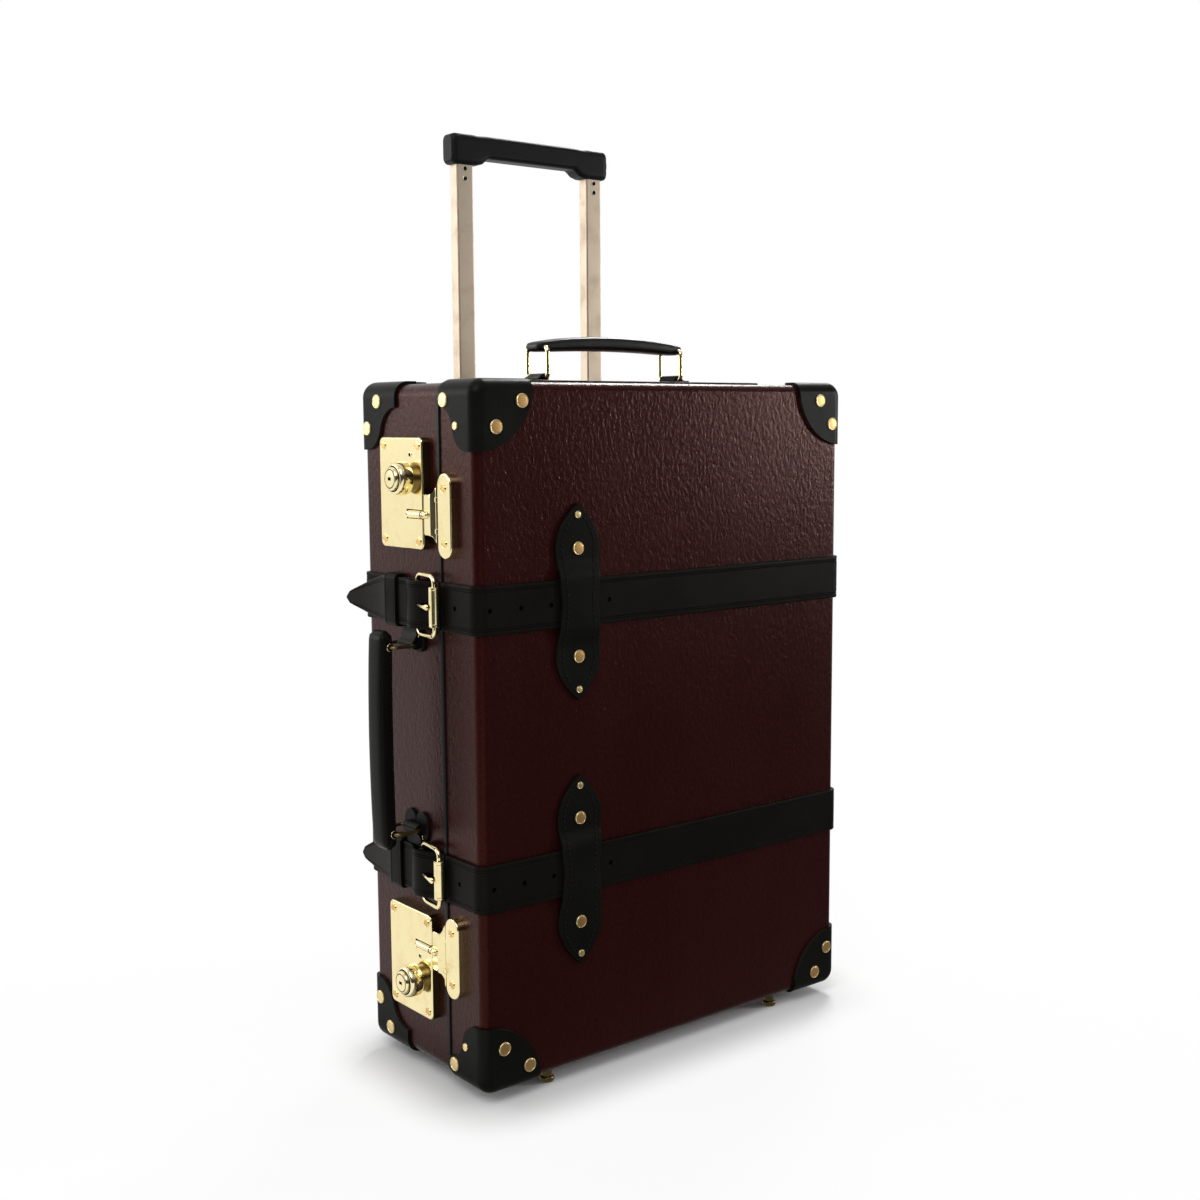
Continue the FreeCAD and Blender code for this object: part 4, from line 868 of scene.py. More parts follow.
@dataclass
class Shell:
    """Both halves of the fibre shell, the band between them and the linings."""

    case: Case
    bench: Bench
    gap: float = 0.3
    proud: float = 1.3
    least_round: float = 2.0
    lip: float = 8.0
    lip_clear: float = 0.5
    lip_wall: float = 1.4
    lining: float = 1.4
    lining_clear: float = 0.05
    lining_back: float = 1.0
    bead: float = 139.0
    bead_high: float = 2.9

    def tray(self, rim: float, closed: float, inset: float, wall: float) -> Form:
        """Tray of one half.

        Args:
            rim: level of the open side.
            closed: level of the closed side.
            inset: distance inside the shell's outer face.
            wall: thickness of the tray.

        Returns:
            The tray.
        """
        case = self.case
        deep = closed - math.copysign(inset, closed)
        low, high = sorted((rim, deep))
        made = Form().brick((-case.half + inset, low, case.low + inset),
                            (case.half - inset, high, case.high - inset))
        made.ease(max(case.corner - inset, self.least_round), 8, along(1))
        made.ease(max(case.edge - inset, self.least_round), 6, at_level(1, deep))
        return made.hollow(at_level(1, rim), wall)

    def hoop(self, low: float, high: float, proud: float, wall: float, ease: float) -> Form:
        """Hoop round the rim of the case.

        Args:
            low: front level.
            high: back level.
            proud: height over the shell.
            wall: thickness.
            ease: radius of the edges.

        Returns:
            The hoop.
        """
        case = self.case
        made = Form().brick((-case.half - proud, low, case.low - proud),
                            (case.half + proud, high, case.high + proud))
        made.ease(max(case.corner + proud, self.least_round), 8, along(1))
        ends = at_level(1, low, high)
        return made.hollow(ends, wall).ease(ease, 3, ends)

    def build(self) -> None:
        """Set out shell halves, linings, and the band with its bead and lip."""
        case, bench = self.case, self.bench
        for name, rim, closed in (("lid", case.lid_rim, case.front), ("base", case.base_rim, case.back)):
            bench.piece(f"{name}_fibre", self.tray(rim, closed, 0.0, case.wall), [Coat.FIBRE],
                        name, "fibre", [f"{name}_shell"], bevel=0.5)
            inner = self.tray(rim + math.copysign(self.lining_back, closed), closed,
                              case.wall + self.lining_clear, self.lining)
            bench.piece(f"{name}_cloth", inner, [Coat.LINING], name, "lining", [f"{name}_lining"])
        front, top = case.lid_rim + self.gap, case.high + self.bead_high
        band = self.hoop(front, case.base_rim, self.proud, case.wall + self.proud, 0.7)
        band.add(slab((-self.bead, front + self.gap, case.high - 1.0),
                      (self.bead, case.base_rim - self.gap, top), 2, 1.2, 0.8, [top]))
        band.add(self.hoop(front - self.lip, case.base_rim, -case.wall - self.lip_clear,
                           self.lip_wall, 0.4))
        bench.piece("rim_band", band, [Coat.BAND], "base", "band", ["base_band"])


@dataclass
class CornerCaps:
    """Leather caps on the eight corners and their rivets."""

    case: Case
    bench: Bench
    wall: float = 2.5
    skin: float = 0.3
    radius: float = 5.5
    head: float = 1.3
    eyelet: float = 3.1
    front_left: Sequence[Point] = ((40.3, 14.0), (16.8, 33.0))
    front_right: Sequence[Point] = ((26.0, 13.0), (11.0, 33.0))
    lid_side: Sequence[Point] = ((37.5, 13.0), (21.5, 32.0))
    base_side: Sequence[Point] = ((26.0, 13.0), (10.5, 34.0))
    back_face: Sequence[Point] = ((40.3, 14.0), (16.8, 33.0))

    def heights(self, up: float) -> tuple[float, float]:
        """Both heights that lie the same distance from an end of the case."""
        return self.case.low + up, self.case.high - up

    def rivets(self, lid: bool) -> Form:
        """Rivet heads on the caps of one half.

        Args:
            lid: whether the half is the lid.

        Returns:
            The heads.
        """
        case, form, way = self.case, Form(), -1 if lid else 1
        copper, pale = (rivet(self.radius, self.head, 0, dome) for dome in (1, 0))
        small = rivet(self.eyelet, self.head, 0, 0)
        level = way * (case.back + self.wall)
        sides = (self.front_left, self.front_right) if lid else (self.back_face, self.back_face)
        for side, spots in zip((-1, 1), sides):
            form.stamp(copper, [facing(Y * way, (side * (case.half - a), level, z))
                                for a, up in spots for z in self.heights(up)])
        for side in (-1, 1):
            wall = side * (case.half + self.wall)
            for number, (deep, up) in enumerate(self.lid_side if lid else self.base_side):
                head = small if lid and number else pale
                form.stamp(head, [facing(X * side, (wall, way * (case.back - deep), z))
                                  for z in self.heights(up)])
        return form

    def build(self) -> None:
        """Set out caps and rivets."""
        for half in ("lid", "base"):
            for end in ("top", "bottom"):
                node = f"{half}_caps_{end}"
                form = recast(node)
                form.paint(1, self.is_edge)
                self.bench.piece(f"{half}_{end}_caps", form, [Coat.LEATHER, Coat.EDGE], half,
                                 "leather", [node], sharp=32.0, bevel=0.55)
            self.bench.piece(f"{half}_cap_rivets", self.rivets(half == "lid"),
                             [Coat.SATIN_BRASS, Coat.COPPER], half, "brass", [f"{half}_rivets"])

    def is_edge(self, face: Face) -> bool:
        """Whether a face is a cut edge: it stands across the thickness of the leather."""
        case, middle = self.case, face.calc_center_median()
        proud = (abs(middle.x) - case.half, abs(middle.y) - case.back,
                 abs(middle.z - (case.low + case.high) / 2) - (case.high - case.low) / 2)
        for axis, depth in enumerate(proud):
            others = [proud[other] for other in range(3) if other != axis]
            if self.skin < depth < self.wall - self.skin and max(others) < -case.corner:
                return abs(face.normal[axis]) < 0.3
        return False


@dataclass
class Belt:
    """One belt round the case: front run, back run, loose tail and keeper."""

    case: Case
    bench: Bench
    tier: str
    height: float
    flare: float
    width: float = 37.0
    thick: float = 3.0
    bend: float = 0.9
    creases: Sequence[float] = (3.2, 4.8)
    crease_deep: float = 0.45
    hole: float = 2.0
    hole_start: float = -183.0
    hole_pitch: float = 28.2
    holes: int = 5
    side_hole: float = -53.5
    heel: Point = (-197.0, -5.5)
    roll: float = 3.45
    wire: float = 1.95
    eye: float = 3.4
    slot: tuple[float, float] = (-24.0, -13.0)
    slot_half: float = 1.7
    route: Sequence[Point] = ((-33.6, 0.9), (-28.3, 0.9), (-19.5, 4.6), (-10.5, 8.85), (-1.5, 8.9),
                              (8.5, 3.6), (20.0, 3.3), (41.5, 3.3))
    lay: float = 3.3
    lift_from: float = 14.0
    lift_share: float = 0.40
    tip: float = 72.5
    point: float = 28.9
    lit_from: float = 28.5
    keeper: tuple[float, float] = (22.5, 38.5)
    keeper_half: float = 20.9
    keeper_wall: float = 2.0

    def section(self) -> list[Point]:
        """Section of the belt with its creased lines."""
        return pill(self.width, self.thick, self.bend, 3, self.creases, self.crease_deep)

    def front(self) -> Form:
        """Front run with punched holes."""
        case = self.case
        line = case.belt_line(Vector((-case.half, case.lid_rim, self.height)),
                              Vector((case.half, case.lid_rim, self.height)), case.front)
        form = Form().sweep(self.section(), stations(line, Z))
        punch = Form()
        for number in range(self.holes):
            spot = Vector((self.hole_start + number * self.hole_pitch, case.front + 1.0, self.height))
            punch.turn(self.punch(), spot, -Y, 20)
        punch.turn(self.punch(), Vector((1.0 - case.half, self.side_hole, self.height)), -X, 20)
        return form.carve(punch)

    def punch(self) -> list[Point]:
        """Profile of the tool that punches a hole."""
        return [(0, 0), (self.hole, 0), (self.hole, 8), (0, 8)]

    def rear(self) -> Form:
        """Back run with the folds that hold the buckle."""
        case = self.case
        line = case.belt_line(Vector((case.half, case.base_rim, self.height)),
                              Vector((-case.half, self.heel[1] + 2.0, self.height)), case.back)
        form = Form().sweep(self.section(), stations(line, Z))
        for side in (-1, 1):
            foot = Vector((*self.heel, self.height + side * self.eye))
            form.turn(sleeve(self.wire, self.roll, self.width / 2 - self.eye), foot, Z * side, 24)
        return form

    def tail(self) -> Form:
        """Loose tail over the buckle, ending in a rounded point."""
        case, end = self.case, self.flare - self.thick
        route = (*self.route, (self.tip - self.lift_from, self.lay + (end - self.lay) * self.lift_share),
                 (self.tip, end))
        line = catmull([Vector((-case.half - out, y, self.height)) for y, out in route], 7)
        frames = []
        for place in stations(line, -Z):
            part = max(0.0, (place.translation.y - self.tip + self.point) / self.point)
            wide = 1.0 - 0.80 * part ** 1.35
            nose = max(0.0, (part - 0.90) / 0.10)
            frames.append(sized(place, wide * math.sqrt(max(0.02, 1.0 - 0.98 * nose ** 2)), 1.0))
        form = Form().sweep(self.section(), frames)
        form.carve(Form().brick((-case.half - 20, self.slot[0], self.height - self.slot_half),
                                (-case.half + 5, self.slot[1], self.height + self.slot_half)))
        # The tip beyond this level takes the lighter belt leather: a painted highlight.
        return form.paint(1, lambda face: face.calc_center_median().y > self.lit_from)

    def band(self) -> Form:
        """Keeper band round the tail."""
        middle, foot = sum(self.keeper) / 2, -self.case.half - 0.1
        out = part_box("strap_keepers")[0].x / MM + self.keeper_wall
        half = self.keeper_half - self.keeper_wall
        corners = [Vector((x, middle, self.height + up)) for x, up in
                   ((foot, -half), (out, -half), (out, half), (foot, half))]
        line = rounded_line(corners, 2.4, 6)
        wide = self.keeper[1] - self.keeper[0]
        return Form().sweep(pill(wide, self.keeper_wall, 0.6, 3, (2.2,), 0.25), stations(line, Y))

    def build(self) -> None:
        """Set out the belt's leather."""
        tier = self.tier
        parts = (("front", self.front(), "lid", [f"{tier}_front_strap"]),
                 ("back", self.rear(), "base", [f"{tier}_back_strap"]),
                 ("tail", self.tail(), "base", [f"{tier}_strap_tail"]),
                 ("keeper", self.band(), "base", ["strap_keepers"] if tier == "upper" else []))
        for name, form, body, nodes in parts:
            coats = [Coat.BELT, Coat.LIT_BELT] if name == "tail" else [Coat.BELT]
            self.bench.piece(f"{tier}_belt_{name}", form, coats, body, "leather", nodes)


@dataclass
class BeltLoop:
    """Waisted leather loop on the front that holds a belt, with a sewn edge and four rivets."""

    case: Case
    bench: Bench
    tier: str
    height: float
    across: float = -100.5
    long: float = 152.0
    lobe: float = 42.6
    waist: float = 35.0
    wall: float = 2.6
    strap: float = 37.0
    lift: float = 3.15
    slope_from: float = 0.2
    slope: float = 15.0
    seam: float = 5.8
    seam_stop: float = 2.5
    seam_half: float = 0.55
    pitch: float = 4.2
    thread: float = 0.75
    tip_half: float = 2.4
    tip_pitch: float = 2.6
    heads: Sequence[tuple[float, float, float, int, int]] = ((5.2, 1.5, 41.8, 1, 24),
                                                             (2.9, 1.2, 67.6, 0, 18))
    ladder: Sequence[Point] = ((0.0, 1.0), (0.30, 0.93), (0.70, 0.80), (0.95, 0.65), (1.0, 0.54),
                               (0.93, 0.36))

    def outline(self) -> list[Vector]:
        """Half width against height, from the upper tip to the lower one."""
        half, tall = self.lobe / 2, self.long / 2
        upper = [Vector((a * half, b * tall, 0)) for a, b in self.ladder]
        waist = [Vector((self.waist / 2 * 1.06, 0.14 * tall, 0)), Vector((self.waist / 2, 0, 0))]
        rows = upper + waist
        lower = [Vector((row.x, -row.y, 0)) for row in reversed(rows[:-1])]
        return catmull(rows + lower, 8)

    def rise(self, up: float) -> float:
        """Height of the loop over the shell at a height along it."""
        level = self.strap / 2 + self.slope_from
        return self.lift * (1.0 - eased(abs(up), level, level + self.slope))

    def spot(self, wide: float, up: float, proud: float = 0.0) -> Vector:
        """Point over the shell, so far across, up and out of the loop's inner face."""
        return Vector((self.across + wide, self.case.front - self.rise(up) - proud,
                       self.height + up))

    def build(self) -> None:
        """Set out the loop with its thread and rivets."""
        rows = self.outline()
        half = self.lobe / 2
        line = [self.spot(0.0, row.y) for row in rows]
        frames = [sized(place, max(row.x, 0.9) / half, 1.0)
                  for place, row in zip(stations(line, X), rows)]
        flip = Matrix.Diagonal((1, -1, 1, 1)) if frames[0].col[1].y > 0 else Matrix()
        form = Form().sweep(pill(self.lobe, self.wall, 0.8, 3), [place @ flip for place in frames])
        inner = [row for row in rows if row.x > self.seam + self.seam_stop]
        edge = self.seam_half
        # A flat near-black strip under each row of stitches: painted shade of the stitch channel.
        groove = [(-edge, -0.3), (edge, -0.3), (edge, 0.03), (-edge, 0.03)]
        for side in (-1, 1):
            seam = [self.spot(side * (row.x - self.seam), row.y, self.wall) for row in inner]
            form.sweep(groove, stations(seam, X), False, 2)
            stitches(form, seam, -Y, self.pitch, 1, self.thread)
        for end in (-1, 1):
            tip = [self.spot(wide, end * (abs(inner[0].y) + 1.2 - 0.10 * wide ** 2), self.wall)
                   for wide in (-self.tip_half, 0.0, self.tip_half)]
            stitches(form, tip, -Y, self.tip_pitch, 1)
        rivets = Form()
        for end in (-1, 1):
            for radius, head, at, dome, steps in self.heads:
                rivets.stamp(rivet(radius, head, 0, dome, steps),
                             [facing(-Y, self.spot(0, end * at, self.wall))])
        self.bench.piece(f"{self.tier}_belt_loop", form, [Coat.LEATHER, Coat.THREAD, Coat.SHADOW],
                         "lid", "leather", [f"{self.tier}_strap_loop"])
        self.bench.piece(f"{self.tier}_loop_rivets", rivets, [Coat.SATIN_BRASS, Coat.COPPER],
                         "lid", "brass")


@dataclass
class Buckle:
    """Roller buckle: bent wire frame, roller and prong."""

    bench: Bench
    tier: str
    height: float
    heel: Point = (-197.0, -5.5)
    bar: Point = (-200.6, -34.5)
    half: float = 23.0
    wire: float = 1.9
    corner: float = 6.0
    roller: float = 4.4
    roller_half: float = 15.3
    eye: float = 3.3
    eye_half: float = 2.9
    route: Sequence[Point] = ((-199.9, -7.4), (-202.4, -14.5), (-205.1, -23.5), (-206.35, -29.0),
                              (-206.5, -32.0), (-206.4, -34.4))
    shaded_from: float = -21.0

    def at(self, spot: Point, up: float) -> Vector:
        """Point of the buckle at a height from its middle."""
        return Vector((*spot, self.height + up))

    def frame_wire(self) -> Form:
        """Frame bent from one wire."""
        corners = [self.at(self.heel, -self.half), self.at(self.heel, self.half),
                   self.at(self.bar, self.half), self.at(self.bar, -self.half)]
        line = rounded_line(corners, self.corner, 8, closed=True)
        face = (corners[1] - corners[0]).cross(corners[2] - corners[1])
        return Form().sweep(ring(self.wire, 14), stations(line, face, True), True)

    def tube(self) -> Form:
        """Roller tube with eased ends and a fine seam."""
        half, out, bore = self.roller_half, self.roller, self.wire + 0.12
        rows = mirrored([(bore, -half), (out - 0.6, -half), (out, -half + 0.6), (out, -half + 2.0),
                         (out - 0.12, -half + 2.3), (out, -half + 2.6)])
        return Form().turn(rows, self.at(self.bar, 0), Z, 32)

    def tongue(self) -> Form:
        """Prong with a swelling tip that rests on the roller."""
        line = catmull([self.at(spot, 0) for spot in self.route], 6)
        frames = []
        for number, place in enumerate(stations(line, Z)):
            part = number / (len(line) - 1)
            swell = 1.25 + 1.15 * min(1.0, max(0.0, (part - 0.45) / 0.35))
            close = rounding(part, 0.80, 0.04)
            frames.append(sized(place, swell * close, (0.8 + 0.15 * swell) * close))
        form = Form().sweep(ring(1.0, 14), frames)
        # The shank behind this level takes darkened brass: painted shade of the slot.
        form.paint(1, lambda face: face.calc_center_median().y > self.shaded_from)
        bore, out, half = self.wire + 0.1, self.eye, self.eye_half
        eye = mirrored([(bore, -half), (out - 0.3, -half), (out, 0.4 - half)])
        return form.turn(eye, self.at(self.heel, 0), Z, 24)

    def build(self) -> None:
        """Set out frame, roller and prong."""
        tier = self.tier
        parts = (("frame", self.frame_wire(), "buckle"), ("roller", self.tube(), "roller"),
                 ("prong", self.tongue(), "prong"))
        for name, form, body in parts:
            self.bench.piece(f"{tier}_{name}_brass", form, [Coat.BRASS, Coat.SHADED_BRASS],
                             f"{tier}_{body}", "brass", [f"{tier}_buckle_{name}"])


@dataclass
class Lock:
    """Lock plate with its key knob, and the hasp that closes on it."""

    case: Case
    bench: Bench
    tier: str
    plate_mid: float
    knob_mid: float
    hasp_mid: float
    plate_y: tuple[float, float] = (-17.8, 43.5)
    plate_half: float = 42.6
    plate_thick: float = 7.0
    knob_y: float = -1.0
    knob: float = 9.3
    knob_long: float = 18.0
    slot: tuple[float, float] = (2.1, 1.2)
    collar: float = 12.8
    collar_high: float = 15.2
    corner: float = 5.0
    rivet_in: Point = (6.0, 6.5)
    groove_half: float = 3.6
    groove_end: float = 4.9
    groove_deep: float = 3.8
    catch: float = 1.5
    catch_up: float = 18.0
    hasp_y: tuple[float, float] = (-54.5, -36.5)
    hasp_half: float = 32.0
    hasp_thick: float = 6.0
    hasp_rivet: float = 20.5
    pin: Point = (-196.9, -34.9)
    knuckle: float = 9.9
    strip_y: tuple[float, float] = (-27.4, -18.1)
    strip_half: float = 15.5
    strip_x: tuple[float, float] = (-198.1, -195.6)
    tongue_end: float = 3.9
    tongue_half: float = 3.1
    web: float = 1.0
    flare: Sequence[Spot] = ((0.0, 0.0, 1.2), (0.3, 1.8, 1.0), (1.8, 3.3, -0.6), (5.6, 4.9, -2.1),
                             (8.2, 7.2, -1.6), (8.8, 10.4, 0.9))

    @property
    def face(self) -> float:
        """Level of the plate's outer face."""
        return -self.case.half - self.plate_thick

    def plate(self) -> Form:
        """Raised plate with a groove for the tongue, a collar and four rivets."""
        wall = -self.case.half
        low = (self.face, self.plate_y[0], self.plate_mid - self.plate_half)
        high = (wall, self.plate_y[1], self.plate_mid + self.plate_half)
        form = slab(low, high, 0, self.corner, 1.3, [self.face])
        form.carve(Form().brick(
            (self.face - 1, self.plate_y[0] - 1, self.hasp_mid - self.groove_half),
            (self.face + self.groove_deep, self.groove_end, self.hasp_mid + self.groove_half)))
        # Sides of the plate and of the groove, towards the wall, take darkened brass: painted shade.
        form.paint(2, lambda face: abs(face.normal.x) < 0.5
                   and face.calc_center_median().x > self.face + 1.2)
        out, bore, tall = self.collar, self.knob + 0.3, self.collar_high
        foot = Vector((self.face, self.knob_y, self.knob_mid))
        # The collar's foot against the plate takes darkened brass: painted shade of the undercut.
        form.turn([(bore + 0.9, -0.5), (bore + 0.9, 3.8), (out - 0.9, 4.2)], foot, -X, 48, 2)
        form.turn([(out - 0.9, 4.2), (out - 0.2, 4.6), (out, 5.4), (out, 9.4), (out - 0.4, tall - 2.6),
                   (out - 1.0, tall - 1.0), (out - 2.0, tall - 0.1), (bore + 0.5, tall)], foot, -X, 48)
        # The collar's inner wall round the knob is near-black: painted shade of the gap.
        form.turn([(bore + 0.5, tall), (bore + 0.2, tall - 0.6), (bore, tall - 0.7), (bore, -0.5)],
                  foot, -X, 48, 3)
        catch, hole = foot - Y * 0.5 + Z * self.catch_up, self.catch
        form.turn([(hole + 0.8, -0.1), (hole + 0.6, 0.3), (hole, 0.35)], catch, -X, 20)
        # The bottom of the catch hole is near-black: painted shade.
        form.turn([(hole, 0.35), (hole - 0.3, 0.05), (0.0, 0.05)], catch, -X, 20, 3)
        (y_low, y_high), (y_in, z_in) = self.plate_y, self.rivet_in
        spots = [(y, self.plate_mid + side * (self.plate_half - z_in))
                 for y in (y_low + y_in, y_high - y_in) for side in (-1, 1)]
        return form.stamp(rivet(3.4, 0.9, 0, 1), [facing(-X, (self.face, *spot)) for spot in spots])

    def key_knob(self) -> Form:
        """Smooth barrel with a stepped, grooved face and a key slot."""
        reach, long = self.knob, self.knob_long
        foot = Vector((self.face - 0.3, self.knob_y, self.knob_mid))
        form = Form().turn([(0.0, 0.0), (reach, 0.0), (reach, long - 2.6), (reach - 0.5, long - 1.1),
                            (reach - 1.4, long - 0.3), (reach - 1.9, long - 0.3)], foot, -X, 64)
        # A ring groove in the face is painted near-black: painted shade.
        form.turn([(reach - 1.9, long - 0.3), (reach - 2.1, long - 0.8), (reach - 2.5, long - 0.8),
                   (reach - 2.7, long - 0.2)], foot, -X, 64, 1)
        form.turn([(reach - 2.7, long - 0.2), (3.2, long), (0.0, long)], foot, -X, 64)
        wide, tall = self.slot
        front = foot.x - long
        slot = Form().brick((front - 1, self.knob_y - wide, self.knob_mid - tall),
                            (front + 2.2, self.knob_y + wide, self.knob_mid + tall))

        def is_slot(face: Face) -> bool:
            """Whether a face lines the key slot."""
            spot = face.calc_center_median()
            return (front + 0.1 < spot.x < front + 2.5 and abs(spot.y - self.knob_y) < wide + 0.1
                    and abs(spot.z - self.knob_mid) < tall + 0.1)

        # Walls and bottom of the key slot are painted near-black: painted shade.
        return form.carve(slot).paint(1, is_slot)

    def hasp(self) -> Form:
        """Pill-shaped plate with two rivets."""
        wall = -self.case.half
        face = wall - self.hasp_thick
        low = (face, self.hasp_y[0], self.hasp_mid - self.hasp_half)
        high = (wall, self.hasp_y[1], self.hasp_mid + self.hasp_half)
        form = slab(low, high, 0, (self.hasp_y[1] - self.hasp_y[0]) / 2 - 0.05, 1.8, [face], 10)
        middle = sum(self.hasp_y) / 2
        heads = [facing(-X, (face, middle, self.hasp_mid + side * self.hasp_rivet)) for side in (-1, 1)]
        return form.stamp(rivet(3.2, 0.9, 0, 1), heads)

    def flap(self) -> Form:
        """Swinging flap: strip, tongue, and a web that dips and widens towards two knuckles."""
        low, high = self.strip_x
        mid = self.hasp_mid
        form = slab((low, self.strip_y[0], mid - self.strip_half),
                    (high, self.strip_y[1], mid + self.strip_half), 0, 2.0, 0.5, [low, high])
        form.add(self.tongue())
        near = self.strip_y[0] + 2.0
        rows = catmull([Vector((self.strip_half + out, near - back, rise))
                        for out, back, rise in self.flare], 5)
        line = [Vector((self.pin[0] - row.z, row.y, mid)) for row in rows]
        form.add(Form().sweep(pill(2.0, self.web, 0.4), [
            sized(place, row.x, 1.0) @ Matrix.Translation((0, -self.web / 2, 0))
            for place, row in zip(stations(line, Z), rows)]))
        for side in (-1, 1):
            foot = Vector((*self.pin, mid + side * self.knuckle))
            form.turn([(0.0, 0.0), (1.5, 0.0), (1.9, 0.4), (1.9, 3.7), (1.5, 4.1), (0.0, 4.1)], foot,
                      Z * side, 20)
        return form

    def tongue(self) -> Form:
        """Round bar that lies in the plate's groove, with a ring groove and a shallow hole near the
        strip, both painted near-black as painted shade.
        """
        start, end = self.strip_y[0] + 1.2, self.tongue_end
        foot = Vector((self.strip_x[0] - 0.4, start, self.hasp_mid))
        long, reach, edge = end - start, self.tongue_half, self.plate_y[0] - start
        form = Form().turn([(0.0, 0.0), (reach - 1.2, 0.2), (reach - 0.3, 0.9), (reach, 2.0),
                            (reach, edge - 0.6)], foot, Y, 28)
        # The ring groove and the hole's bottom take the near-black finish: painted shade.
        form.turn([(reach, edge - 0.6), (reach - 0.6, edge - 0.2), (reach - 0.6, edge + 0.4),
                   (reach, edge + 0.8)], foot, Y, 28, 2)
        form.turn([(reach, edge + 0.8), (reach, long - 3.2), (reach - 0.5, long - 2.8),
                   (reach - 0.5, long - 2.2), (reach - 0.1, long - 1.8), (reach - 0.8, long - 0.6),
                   (reach - 1.8, long - 0.1), (0.0, long)], foot, Y, 28)
        spot = Vector((foot.x - reach + 0.1, start + edge * 0.52, self.hasp_mid))
        form.turn([(2.3, -1.4), (2.3, 0.3), (1.8, 0.5), (1.5, 0.2)], spot, -X, 20)
        return form.turn([(1.5, 0.2), (1.4, -0.1), (0.0, -0.1)], spot, -X, 20, 2)

    def build(self) -> None:
        """Set out plate, knob, hasp and flap."""
        tier, coats = self.tier, [Coat.BRASS, Coat.COPPER, Coat.SHADED_BRASS, Coat.SHADOW]
        parts = (("lock", self.plate(), coats, "base", "lock_plate", 0.25),
                 ("knob", self.key_knob(), [Coat.BRASS, Coat.SHADOW], f"{tier}_knob", "lock_knob", 0.0),
                 ("hasp", self.hasp(), coats, "lid", "hasp_plate", 0.0),
                 ("flap", self.flap(), [Coat.BRASS, Coat.COPPER, Coat.SHADOW], f"{tier}_hasp",
                  "hasp_flap", 0.0))
        for name, form, finish, body, node, bevel in parts:
            self.bench.piece(f"{tier}_{name}_brass", form, finish, body, "brass", [f"{tier}_{node}"],
                             bevel=bevel)


